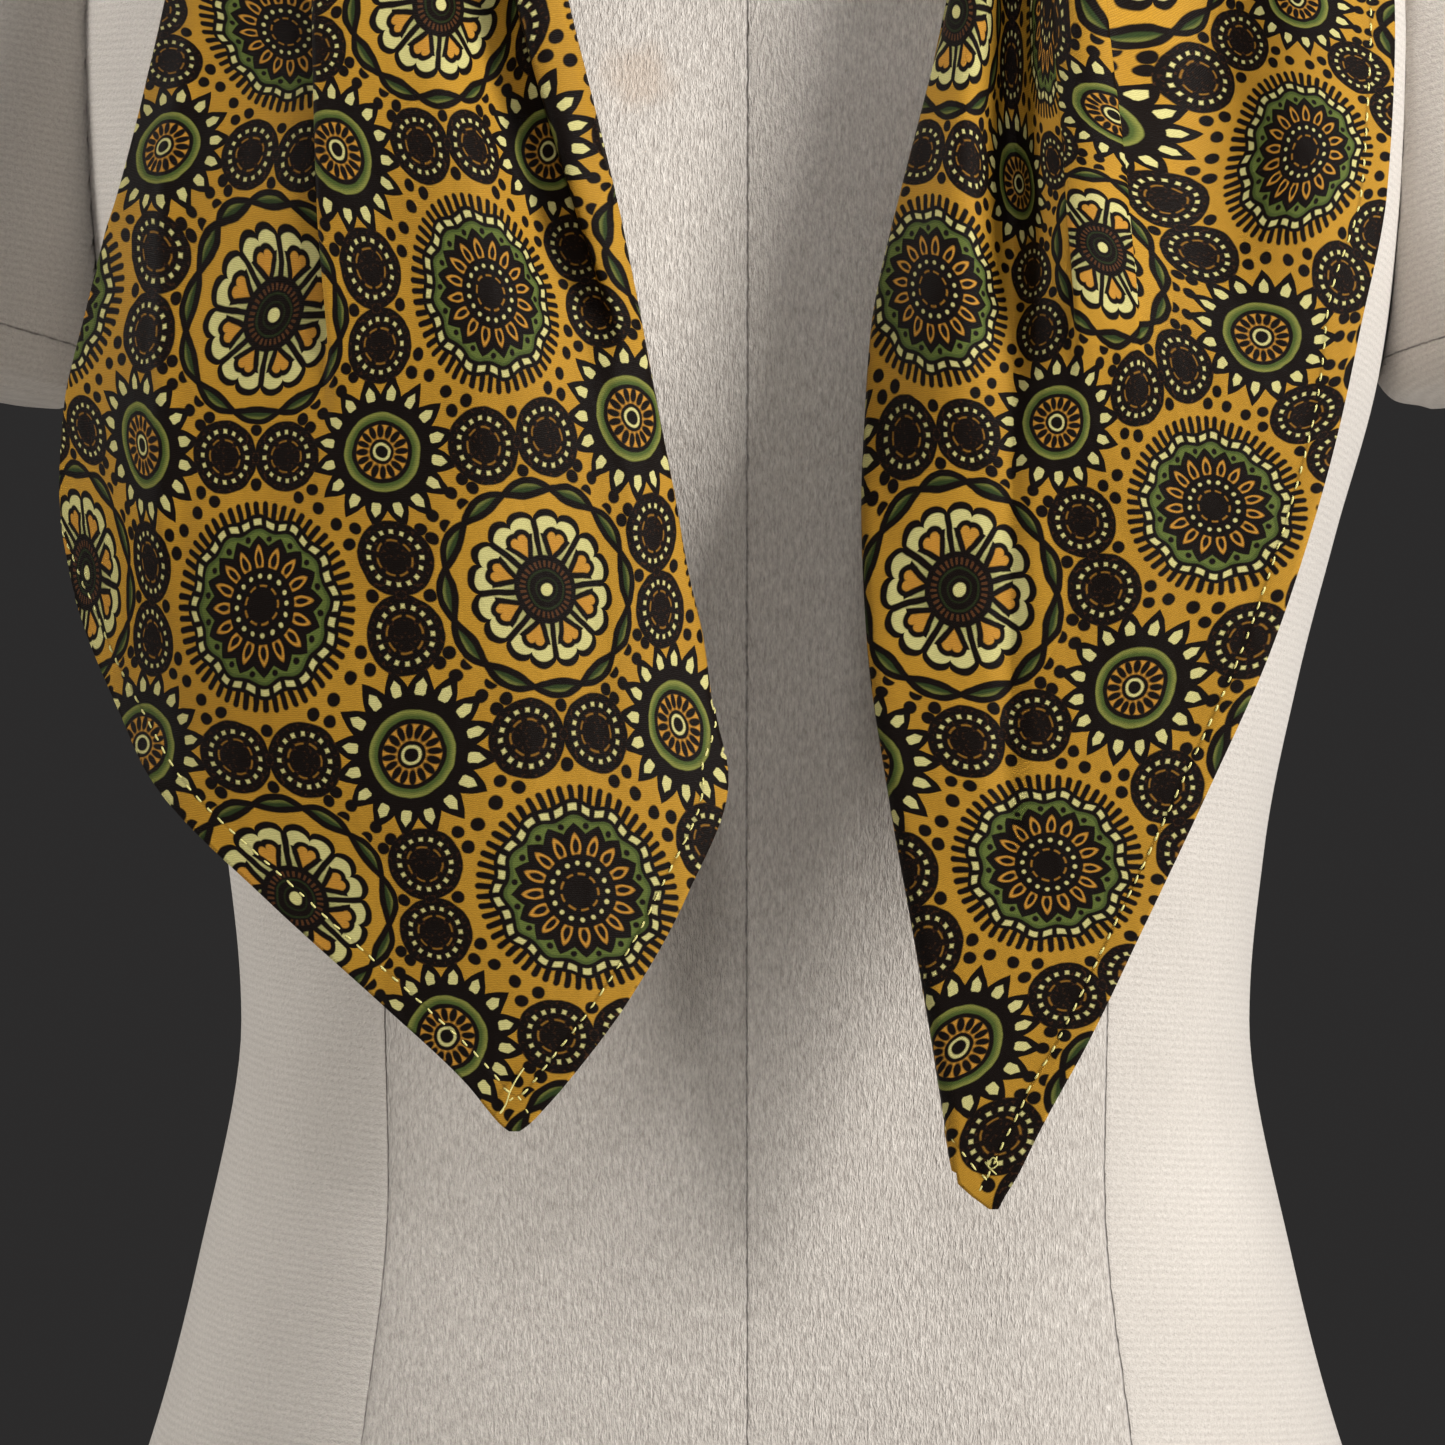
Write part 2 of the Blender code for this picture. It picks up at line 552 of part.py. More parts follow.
def bend_radius(length):
    """The radius of the bend at an edge whose return has this length."""
    return min(FOLD_RADIUS, length * BEND_SHARE)


def return_path(under_x, under_out, edge_out, length, columns):
    """The cloth that runs on behind an edge, round its bend and inwards; nothing where there is a hem.

    under_x and under_out follow the lower side of the front from that edge, and the return keeps two bend
    radii behind them.
    """
    if length < SHORT_RETURN:
        return np.full((ARC_COLUMNS + columns, 2), np.nan)
    radius = bend_radius(length)
    run = run_along(under_x, under_out)
    slope = np.stack([np.gradient(under_x), np.gradient(under_out)], axis=1)
    slope /= np.linalg.norm(slope, axis=1, keepdims=True)
    behind = np.stack([slope[:, 1], -slope[:, 0]], axis=1) * np.sign(under_x[1] - under_x[0])
    distance = 2 * radius + RETURN_SPREAD * smooth_step(run / SPREAD_RUN)
    offset = np.stack([under_x, under_out], axis=1) + behind * distance[:, None]
    turn = np.pi * np.arange(1, ARC_COLUMNS + 1) / ARC_COLUMNS
    start = np.array([under_x[0], edge_out])
    middle = (start + offset[0]) / 2
    bend = middle + (start - middle) * np.cos(turn)[:, None] - slope[0] * radius * np.sin(turn)[:, None]
    along = (length - np.pi * radius) * np.arange(1, columns + 1) / columns
    rest = np.stack([np.interp(along, run, offset[:, 0]), np.interp(along, run, offset[:, 1])], axis=1)
    return np.concatenate([bend, rest])


def level_path(levels, folds, last_columns, z):
    """One level of an end as seen from above: places across it, and how far each lies out from the spine.

    It starts at the hidden edge behind the left side, comes round that side's bend, crosses the front, and
    goes round the right side's bend to the other hidden edge.
    """
    left, right = (float(column(levels, side, z)) for side in ("left", "right"))
    edges = []
    for side in ("left", "right"):
        length = float(column(levels, side + "_return", z))
        steep = 2 * float(column(levels, side + "_turn", z)) / min(TURN_WIDTH, (right - left) / 2)
        inset = bend_radius(length) / np.hypot(1, steep) if length >= SHORT_RETURN else 0.0
        longest = max(getattr(level, side + "_return") for level in levels)
        edges.append((length, inset, LONG_RETURN_COLUMNS if longest > LONG_RETURN else RETURN_COLUMNS))
    (left_length, left_inset, left_columns), (right_length, right_inset, right_columns) = edges
    x_start, x_end = left + left_inset, right - right_inset
    x, rise = front_path(levels, folds, last_columns, z, x_start, x_end)
    out = rise + wave_height(levels, folds, z, x) - turn_back(levels, z, x)
    under_x = np.linspace(x_start, x_end, SAMPLES // 2)
    under_out = lower_side(under_x, wave_height(levels, folds, z, under_x)) - turn_back(levels, z, under_x)
    before = return_path(under_x, under_out, out[0], left_length, left_columns)
    after = return_path(under_x[::-1], under_out[::-1], out[-1], right_length, right_columns)
    return np.concatenate([before[::-1], np.stack([x, out], axis=1), after])


def lay_end(levels, folds, last_columns, form_tree):
    """The middle surface of one hanging end: a grid of points, row by row from its tip to the shoulder."""
    heights = row_heights(levels[0].z, levels[-1].z)
    spine_y, outward, drop = spine_at(heights)
    inner = min(abs(levels[-1].left), abs(levels[-1].right))
    side = np.sign(levels[-1].left)
    paths = np.array([level_path(levels, folds, last_columns, z) for z in heights])
    x, out = paths[..., 0], paths[..., 1]
    y = np.broadcast_to(spine_y[:, None], x.shape)
    z = heights[:, None] - drop[:, None] * (side * x - inner)
    base = np.stack([x, y, z], axis=-1)
    lift = lift_off_form(x, out, base, outward, form_tree)
    return base + (out + lift)[..., None] * outward[:, None, :]


def lift_off_form(x, out, base, outward, form_tree):
    """How far each point moves outwards so that every layer at its place clears the form."""
    shares = np.linspace(0, 1, LIFT_PLACES)
    leftmost = np.nanmin(x, axis=1)
    spread = np.nanmax(x, axis=1) - leftmost
    need = np.zeros((len(x), len(shares)))
    for row, row_x in enumerate(x):
        real = np.flatnonzero(np.isfinite(row_x))
        order = real[np.argsort(row_x[real])]
        places = leftmost[row] + shares * spread[row]
        points = np.stack([np.interp(places, row_x[order], base[row, order, axis]) for axis in range(3)], axis=1)
        for number, (place, point) in enumerate(zip(places, points)):
            beside = np.abs(row_x - place) < LIFT_REACH + spread[row] * LIFT_SHARE
            lowest = np.min(out[row], where=beside, initial=np.inf)
            start = Vector(point + outward[row] * RAY_START)
            depth = form_tree.ray_cast(start, Vector(-outward[row]), 2 * RAY_START)[3]
            if depth is not None:
                need[row, number] = max(0.0, RAY_START - depth + CLOTH_TO_FORM - lowest)
    rows, places = (size // 2 for size in LIFT_SMOOTHING)
    for combine in (np.max, np.mean):
        padded = np.pad(need, ((rows, rows), (places, places)), mode="edge")
        need = combine(np.lib.stride_tricks.sliding_window_view(padded, LIFT_SMOOTHING), axis=(2, 3))
    at = (x - leftmost[:, None]) / spread[:, None]
    return np.array([np.interp(at[row], shares, need[row]) for row in range(len(x))])


def tree_of(obj):
    return BVHTree.FromPolygons([v.co for v in obj.data.vertices], [p.vertices for p in obj.data.polygons])


def main():
    for obj in list(bpy.data.objects):
        bpy.data.objects.remove(obj)
    cover = make_material("form_cover", PALE_COVER, 0.85)
    print_cloth = make_material("scarf_cloth", MUSTARD_COTTON, 0.6)
    torso = make_torso(cover)
    make_arm("form_arm_left", -1, torso, cover)
    make_arm("form_arm_right", 1, torso, cover)
    make_band(print_cloth)
    form_tree = tree_of(torso)
    for name, levels, folds, last_columns in (
            ("scarf_open_end", OPEN_CORNER, OPEN_FOLDS, OPEN_LAST_COLUMNS),
            ("scarf_folded_end", FOLDED_CORNER, FOLDED_FOLDS, FOLDED_LAST_COLUMNS)):
        grid = lay_end(levels, folds, last_columns, form_tree)
        grid[-1, :, 1] = -SEAM_GAP
        sheet_solid(name, grid, print_cloth)


main()
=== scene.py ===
# %% [markdown]
# # A printed square scarf worn on a padded dress form
#
# A dress form is a padded body in a stretched cover, used to show or fit clothes. Over its shoulders lies a
# square scarf, folded on its diagonal, so that two pointed corners hang down in front. The solids of the part
# are loaded first, because every surface below has to lie where they lie. They carry the part in a
# simulation, and the finer surfaces made here are what the eye sees.

# %% Load the frame
from collections import namedtuple

import bpy
import numpy as np
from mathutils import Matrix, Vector
from mathutils.bvhtree import BVHTree


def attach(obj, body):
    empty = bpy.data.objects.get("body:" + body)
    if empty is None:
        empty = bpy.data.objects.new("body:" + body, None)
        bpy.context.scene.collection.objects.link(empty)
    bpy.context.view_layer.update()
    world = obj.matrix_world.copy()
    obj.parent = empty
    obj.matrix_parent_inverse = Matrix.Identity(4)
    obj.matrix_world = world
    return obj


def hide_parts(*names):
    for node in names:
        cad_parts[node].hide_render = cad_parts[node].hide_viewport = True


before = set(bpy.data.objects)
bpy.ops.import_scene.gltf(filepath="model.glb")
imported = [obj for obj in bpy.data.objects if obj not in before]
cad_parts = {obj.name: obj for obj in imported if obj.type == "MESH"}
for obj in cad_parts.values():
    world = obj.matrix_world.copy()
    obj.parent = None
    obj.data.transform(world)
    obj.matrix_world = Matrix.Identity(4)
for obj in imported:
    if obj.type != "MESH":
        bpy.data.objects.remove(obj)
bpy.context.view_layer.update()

# %% [markdown]
# ## The camera
#
# The picture is a close-up of the two hanging ends, taken from straight in front with a long lens. A long
# lens stands far off, so the sides of the form hardly shrink with distance. The same camera is also used
# further down to find which point of the cloth shows at a given pixel, so its numbers have names.

# %% Camera
PHOTO_SIZE = 1445
CAMERA_PLACE = (-0.0054, -1.5, 0.321)
FOCAL_PIXELS = 6300
SENSOR_MM = 36.0

camera_data = bpy.data.cameras.new("camera")
camera_data.sensor_width = SENSOR_MM
camera_data.lens = SENSOR_MM * FOCAL_PIXELS / PHOTO_SIZE
camera = bpy.data.objects.new("camera", camera_data)
bpy.context.scene.collection.objects.link(camera)
camera.location = CAMERA_PLACE
camera.rotation_euler = (np.pi / 2, 0, 0)
bpy.context.scene.camera = camera


def seen_at(points):
    """Pixel column and row of points: their offset from the camera over their distance from it."""
    away = points[..., 1] - CAMERA_PLACE[1]
    column_px = PHOTO_SIZE / 2 + FOCAL_PIXELS * (points[..., 0] - CAMERA_PLACE[0]) / away
    row_px = PHOTO_SIZE / 2 - FOCAL_PIXELS * (points[..., 2] - CAMERA_PLACE[2]) / away
    return np.stack([column_px, row_px], axis=-1)


print("lens", round(camera_data.lens, 1), "mm")

# %% [markdown]
# ## Floor and light
#
# Two soft lamps stand to the left and the right, the right one brighter and further in front. Light from the
# side is what shows folds: each one gets a bright flank and a dim flank, and the ends cast their shadows
# between them. A third lamp, very weak, lights the hollow above, and an even world light keeps the shade from
# going black.

# %% Floor, lamps and world
FLOOR_HALF = 1.1
FLOOR_GREY = (0.62, 0.61, 0.60, 1.0)
WORLD_GREY = (0.30, 0.29, 0.29, 1.0)
WORLD_STRENGTH = 0.085

Lamp = namedtuple("Lamp", "name place aim width height watts spread_degrees colour")
LAMPS = (
    Lamp("lamp_left", (-1.50, -0.24, 0.95), (0.0, 0.0, 0.33), 0.4, 0.5, 19.0, 180, (1.0, 0.985, 0.96)),
    Lamp("lamp_right", (1.32, -1.03, 0.78), (0.0, 0.0, 0.33), 0.5, 0.6, 41.0, 180, (1.0, 0.99, 0.975)),
    Lamp("lamp_front", (0.00, -1.25, 1.25), (0.03, 0.0, 0.46), 0.3, 0.3, 0.25, 28, (1.0, 0.99, 0.98)),
)


def plain_material(name, colour, roughness):
    """A material with one colour and one roughness all over."""
    material = bpy.data.materials.new(name)
    material.use_nodes = True
    shader = material.node_tree.nodes["Principled BSDF"]
    shader.inputs["Base Color"].default_value = colour
    shader.inputs["Roughness"].default_value = roughness
    return material


def make_floor():
    """A round floor under the form, as one fan of points."""
    angle = np.linspace(0, 2 * np.pi, 96, endpoint=False)
    points = np.stack([np.cos(angle), np.sin(angle), 0 * angle], axis=1) * FLOOR_HALF
    mesh = bpy.data.meshes.new("floor")
    mesh.from_pydata(points.tolist(), [], [list(range(len(points)))])
    mesh.materials.append(plain_material("floor", FLOOR_GREY, 0.9))
    floor = bpy.data.objects.new("floor", mesh)
    bpy.context.scene.collection.objects.link(floor)


def make_lamp(lamp):
    """A rectangle of light at its place, turned so that it shines towards its aim."""
    data = bpy.data.lights.new(lamp.name, "AREA")
    data.shape = "RECTANGLE"
    data.size = lamp.width
    data.size_y = lamp.height
    data.energy = lamp.watts
    data.spread = np.radians(lamp.spread_degrees)
    data.color = lamp.colour
    obj = bpy.data.objects.new(lamp.name, data)
    obj.location = lamp.place
    obj.rotation_euler = (Vector(lamp.aim) - Vector(lamp.place)).to_track_quat("-Z", "Y").to_euler()
    bpy.context.scene.collection.objects.link(obj)


make_floor()
for lamp in LAMPS:
    make_lamp(lamp)
world = bpy.data.worlds.new("studio")
world.use_nodes = True
world.node_tree.nodes["Background"].inputs["Color"].default_value = WORLD_GREY
world.node_tree.nodes["Background"].inputs["Strength"].default_value = WORLD_STRENGTH
bpy.context.scene.world = world
bpy.context.scene.view_settings.view_transform = "Standard"
print(len(LAMPS), "lamps")

# %% [markdown]
# ## Drawing with shader nodes
#
# The print and the weave are drawn by formulas. A formula in a shader is a chain of Math nodes, which is slow
# to wire by hand and hard to read. A small class helps: arithmetic on it places the nodes, so that a line of
# the print can be written as it would be on paper, for instance as the places where a distance is small.

# %% A number that changes over the surface
class Field:
    """A socket that can be used in sums. Each operation places one Math node and gives its result."""

    def __init__(self, socket):
        self.socket = socket

    def __add__(self, other):
        return math("ADD", self, other)

    def __sub__(self, other):
        return math("SUBTRACT", self, other)

    def __rsub__(self, other):
        return math("SUBTRACT", other, self)

    def __mul__(self, other):
        return math("MULTIPLY", self, other)

    def __truediv__(self, other):
        return math("DIVIDE", self, other)

    __radd__ = __add__
    __rmul__ = __mul__


def feed(value, socket):
    """Links a field to a socket, or sets the socket to a plain number or colour."""
    if isinstance(value, Field):
        socket.id_data.links.new(value.socket, socket)
    else:
        socket.default_value = value


def tree_of(values):
    """The node tree that the fields among some values belong to."""
    return next(value.socket.id_data for value in values if isinstance(value, Field))


def math(operation, *values, clamp=False):
    """One Math node and its result."""
    node = tree_of(values).nodes.new("ShaderNodeMath")
    node.operation = operation
    node.use_clamp = clamp
    for value, socket in zip(values, node.inputs):
        feed(value, socket)
    return Field(node.outputs[0])


def below(value, edge, soft):
    """1 where a value is below an edge and 0 above it, with a straight ramp of the given width between."""
    return math("MULTIPLY_ADD", value - edge, -1.0 / soft, 0.5, clamp=True)


def both(*masks):
    """1 where all the masks are 1: their product."""
    mask = masks[0]
    for other in masks[1:]:
        mask = mask * other
    return mask


def vector(x, y, z=0.0):
    """Three numbers put together as a point."""
    node = tree_of((x, y, z)).nodes.new("ShaderNodeCombineXYZ")
    for value, socket in zip((x, y, z), node.inputs):
        feed(value, socket)
    return Field(node.outputs[0])


def parts(point):
    """The three numbers of a point."""
    node = tree_of((point,)).nodes.new("ShaderNodeSeparateXYZ")
    feed(point, node.inputs[0])
    return Field(node.outputs["X"]), Field(node.outputs["Y"]), Field(node.outputs["Z"])


def vector_math(operation, *values, output="Vector"):
    """One Vector Math node and its result."""
    node = tree_of(values).nodes.new("ShaderNodeVectorMath")
    node.operation = operation
    places = node.inputs if operation != "SCALE" else (node.inputs["Vector"], node.inputs["Scale"])
    for value, socket in zip(values, places):
        feed(value, socket)
    return Field(node.outputs[output])


def distance(point, x, y):
    """How far a point is from a fixed place."""
    return vector_math("DISTANCE", point, (x, y, 0.0), output="Value")


def size_of(point):
    """How far a point is from its own zero."""
    return vector_math("LENGTH", point, output="Value")


def folded(angle, count, turn=0.0):
    """How far round from the nearest of a number of even spokes: 0 on a spoke, a half midway to the next."""
    return math("PINGPONG", math("MULTIPLY_ADD", angle, count / (2 * np.pi), turn), 0.5)


def beside_spoke(r, angle, count, turn=0.0):
    """The share t of the way round from the nearest spoke, and the length of that way."""
    t = folded(angle, count, turn)
    return t, t * r * (2 * np.pi / count)


def noise(point, scale, detail=2.0, roughness=0.5, output="Fac"):
    """Soft uneven noise between 0 and 1 at a point."""
    node = tree_of((point,)).nodes.new("ShaderNodeTexNoise")
    feed(point, node.inputs["Vector"])
    node.inputs["Scale"].default_value = scale
    node.inputs["Detail"].default_value = detail
    node.inputs["Roughness"].default_value = roughness
    return Field(node.outputs[output])


def ramp(value, low, high, to_low=0.0, to_high=1.0):
    """A value carried from one range to another and held at its ends."""
    node = tree_of((value,)).nodes.new("ShaderNodeMapRange")
    feed(value, node.inputs["Value"])
    for name, number in (("From Min", low), ("From Max", high), ("To Min", to_low), ("To Max", to_high)):
        feed(number, node.inputs[name])
    return Field(node.outputs["Result"])


def paint(under, mask, colour):
    """A colour laid over another where a mask is 1."""
    node = tree_of((under, mask, colour)).nodes.new("ShaderNodeMix")
    node.data_type = "RGBA"
    feed(mask, node.inputs[0])
    feed(under, node.inputs[6])
    feed(colour, node.inputs[7])
    return Field(node.outputs[2])


def paint_number(under, mask, number):
    """One number laid over another where a mask is 1."""
    return under + (number - under) * mask


print("drawing tools ready")


# %% Node groups with named inputs and outputs
def new_group(name, inputs, outputs):
    """A shader node group and its input fields, by name. Each socket is given as its name and its kind."""
    group = bpy.data.node_groups.new(name, "ShaderNodeTree")
    for label, kind in inputs:
        group.interface.new_socket(label, in_out="INPUT", socket_type=kind)
    for label, kind in outputs:
        group.interface.new_socket(label, in_out="OUTPUT", socket_type=kind)
    start = group.nodes.new("NodeGroupInput")
    return group, {label: Field(start.outputs[label]) for label, kind in inputs}


def close_group(group, results):
    """Feeds a group's results, by name, to its outputs."""
    end = group.nodes.new("NodeGroupOutput")
    for label, value in results.items():
        feed(value, end.inputs[label])


def use_group(tree, group, values):
    """Places a group in a tree, feeds its inputs, and gives its outputs by name."""
    node = tree.nodes.new("ShaderNodeGroup")
    node.node_tree = group
    for label, value in values.items():
        feed(value, node.inputs[label])
    return {socket.name: Field(socket) for socket in node.outputs}


def map_field(tree, name):
    """The pair of numbers that a piece's map holds."""
    node = tree.nodes.new("ShaderNodeUVMap")
    node.uv_map = name
    return Field(node.outputs["UV"])


def add_relief(tree, height, metres):
    """Shades a surface as if it stood out by this height, where 1 stands for the given metres."""
    bump = tree.nodes.new("ShaderNodeBump")
    bump.inputs["Distance"].default_value = metres
    bump.inputs["Strength"].default_value = RELIEF_STRENGTH
    feed(height, bump.inputs["Height"])
    tree.links.new(bump.outputs["Normal"], tree.nodes["Principled BSDF"].inputs["Normal"])


RELIEF_STRENGTH = 0.8
NUMBER = "NodeSocketFloat"
COLOUR = "NodeSocketColor"
POINT = "NodeSocketVector"


def linear(red, green, blue):
    """A colour given as screen values from 0 to 255, as the even light values that shaders use."""
    screen = np.array([red, green, blue]) / 255
    light = np.where(screen <= 0.04045, screen / 12.92, ((screen + 0.055) / 1.055) ** 2.4)
    return (*(float(v) for v in light), 1.0)


print("groups ready")

# %% [markdown]
# ## The cover of the form
#
# The form wears a stretched cover with a short nap. Down the middle panels the nap lies in fine upright
# streaks, and on the side panels and arm stubs fine ribs run round. The seams between the panels are dark
# thin lines. Each surface carries two maps: one with distances along the cloth, and one that says how far the
# nearest seam is and on which kind of panel a place lies. The same weave groups could serve another cover.

# %% Cover groups
SEAM_LINE = 0.00016


def make_streak_group():
    """Upright streaks of nap: noise squeezed across and drawn out along the cloth."""
    group, given = new_group("nap_streaks", [("Place", POINT), ("Width", NUMBER), ("Length", NUMBER)],
                             [("Height", NUMBER)])
    x, y, z = parts(given["Place"])
    place = vector(x / given["Width"], y / given["Length"])
    coarse = noise(place, 1.0, 3.0, 0.65)
    fine = noise(place, 2.3, 2.0, 0.6)
    close_group(group, {"Height": ramp(coarse * 0.6 + fine * 0.4, 0.36, 0.64)})
    return group


def make_rib_group():
    """Fine ribs that run round: a wave up the cloth, shaken a little by noise."""
    group, given = new_group("fine_ribs", [("Place", POINT), ("Pitch", NUMBER), ("Slope", NUMBER)],
                             [("Height", NUMBER)])
    x, y, z = parts(given["Place"])
    shake = noise(given["Place"], 60.0, 2.0) * given["Pitch"] * 0.4
    up = (y + x * given["Slope"] + shake) / given["Pitch"]
    close_group(group, {"Height": math("SINE", up * (2 * np.pi)) * 0.5 + 0.5})
    return group


streak_group = make_streak_group()
rib_group = make_rib_group()

# %% Cover material
COVER_PALE = linear(214, 207, 198)
COVER_DIM = linear(150, 141, 133)
COVER_SEAM = linear(70, 62, 58)
COVER_STAIN = linear(176, 150, 124)
STAIN_PLACE = (-0.0240, 0.463)
STAIN_RADIUS = 0.0105
NAP = {"Width": 0.0009, "Length": 0.0033}
FUZZ = {"Width": 0.0011, "Length": 0.0009}
RIBS = {"Pitch": 0.0017, "Slope": 0.07}
NAP_HEIGHT = 0.0006
SEAM_SHAKE = 0.00055


def make_cover(name, ribbed_only):
    """Ribs, with streaks of nap on the middle panels, under a stain and broken dark seams."""
    material = plain_material(name, COVER_PALE, 0.92)
    tree = material.node_tree
    shader = tree.nodes["Principled BSDF"]
    place = map_field(tree, "cloth")
    to_seam, inside, unused = parts(map_field(tree, "seams"))
    fuzz = use_group(tree, streak_group, {"Place": place, **FUZZ})["Height"]
    ribs = use_group(tree, rib_group, {"Place": place, **RIBS})["Height"]
    height = ribs * 0.16 + fuzz * 0.46 + 0.26
    if not ribbed_only:
        streaks = use_group(tree, streak_group, {"Place": place, **NAP})["Height"]
        height = paint_number(height, ramp(inside, -0.0005, 0.0005), streaks)
    patches = ramp(noise(place, 26.0, 3.0), 0.3, 0.7)
    colour = paint(paint(COVER_DIM, ramp(height, 0.0, 1.0, 0.15, 1.0), COVER_PALE), patches * 0.16, COVER_DIM)
    stain = below(distance(place, *STAIN_PLACE) + noise(place, 140.0) * 0.008, STAIN_RADIUS, 0.006) * 0.35
    colour = paint(colour, stain, COVER_STAIN)
    wobble = (noise(place, 260.0, 1.0) - 0.5) * SEAM_SHAKE
    seam = below(math("ABSOLUTE", to_seam + wobble), SEAM_LINE, 0.0003)
    broken = ramp(noise(place, 420.0, 1.0), 0.35, 0.6, 0.35, 1.0)
    colour = paint(colour, seam * broken * 0.85, COVER_SEAM)
    feed(colour, shader.inputs["Base Color"])
    shader.inputs["Sheen Weight"].default_value = 0.25
    shader.inputs["Sheen Roughness"].default_value = 0.6
    add_relief(tree, height - seam, NAP_HEIGHT)
    return material


body_cover = make_cover("form_cover_body", ribbed_only=False)
arm_cover = make_cover("form_cover_arms", ribbed_only=True)
print("cover materials ready")

# %% [markdown]
# ## The print
#
# The print is an old kind of medallion repeat. Flowers and rosettes stand on the corners of a square lattice,
# by turns, and a star stands in the middle of each square. Between a flower and a rosette lie two roundels,
# and small dots fill the ground. Each motif is a group that is given a place measured from the motif's own
# centre, in millimetres, and gives its colour and its mask. Everything with a repeat round the centre is made
# from one spoke, folded over, as a paper star is cut.

# %% Print colours and settings
PITCH = 66.0
HALF_PITCH = PITCH / 2
SOFT = 0.32
GROUND = linear(178, 132, 42)
GROUND_DIM = linear(144, 102, 32)
INK = linear(16, 10, 7)
INK_BROWN = linear(88, 54, 30)
CREAM = linear(196, 188, 124)
LEAF = linear(88, 100, 46)
LEAF_DIM = linear(44, 58, 28)
LEAF_PALE = linear(120, 122, 58)
LEAF_DEEP = linear(70, 84, 38)
SEED_ORANGE = linear(184, 130, 48)
MOTIF_SOCKETS = ([("Place", POINT)], [("Color", COLOUR), ("Mask", NUMBER)])


def polar(point):
    """Distance from the centre, and angle round it."""
    x, y, z = parts(point)
    return size_of(point), math("ARCTAN2", y, x)


def span(value, low, high):
    """1 between two values."""
    return below(math("ABSOLUTE", value - (low + high) / 2), (high - low) / 2, SOFT)


def line(value, width):
    """1 along the places where a value is near zero."""
    return below(math("ABSOLUTE", value), width / 2, SOFT)


# %% Flower with leaves round it
FLOWER_PETALS = 8
FLOWER_LEAVES = 12


def make_flower_group():
    """Petals with the rim r = 16.0 + 1.9 root(sin 2 pi t) - 3 t t, where t goes from 0 on a petal's middle
    to a half between two. In each lies a heart: two discs and a wedge. Leaves lie between two waves
    r = 22.9 plus or minus 1.6 |cos 6 angle|."""
    group, given = new_group("flower", *MOTIF_SOCKETS)
    r, angle = polar(given["Place"])
    t, across = beside_spoke(r, angle, FLOWER_PETALS, turn=0.5)
    lobe = math("SQRT", math("SINE", t * (2 * np.pi), clamp=True))
    rim = 16.0 + lobe * 1.9 - t * t * 3.0
    wedge = math("MAXIMUM", (across - (r - 8.4) * 0.58) / 1.16, (r - 12.3) * 2.2)
    heart = math("MINIMUM", distance(vector(across, r), 1.05, 12.3) - 1.1, wedge)
    parting = (0.5 - t) * r * (2 * np.pi / FLOWER_PETALS) - r * 0.012
    wave = math("ABSOLUTE", math("COSINE", angle * (FLOWER_LEAVES / 2)))
    leaf = math("ABSOLUTE", r - 22.9) - wave * 1.6

    in_petals = below(r, rim, SOFT)
    colour = paint(GROUND, below(leaf, -0.45, SOFT), paint(LEAF_PALE, below(r, 23.3, 1.0), LEAF_DIM))
    colour = paint(colour, line(leaf, 1.6), INK)
    colour = paint(colour, in_petals, paint(CREAM, below(r, 10.5, 4.0) * 0.45, LEAF))
    colour = paint(colour, both(in_petals, below(heart, 1.3, SOFT)), INK)
    colour = paint(colour, both(in_petals, below(heart, 0.0, SOFT)), SEED_ORANGE)
    colour = paint(colour, both(in_petals, below(parting, 0.62, SOFT)), INK)
    colour = paint(colour, line(r - rim, 1.7), INK)
    colour = paint(colour, below(r, 8.0, SOFT), INK)
    dashes = both(span(r, 5.2, 6.6), below(folded(angle, 30), 0.24, 0.12))
    colour = paint(colour, dashes * 0.75, INK_BROWN)
    colour = paint(colour, line(r - 4.5, 0.5) * 0.5, LEAF_DIM)
    colour = paint(colour, line(r - 2.7, 0.4) * 0.35, LEAF_DIM)
    colour = paint(colour, below(r, 1.5, SOFT), CREAM)
    close_group(group, {"Color": colour, "Mask": below(r, 25.2, SOFT)})
    return group


flower_group = make_flower_group()

# %% Rosette with rays round it
ROSETTE_RAYS = 56
ROSETTE_LOBES = 12
ROSETTE_PETALS = 16


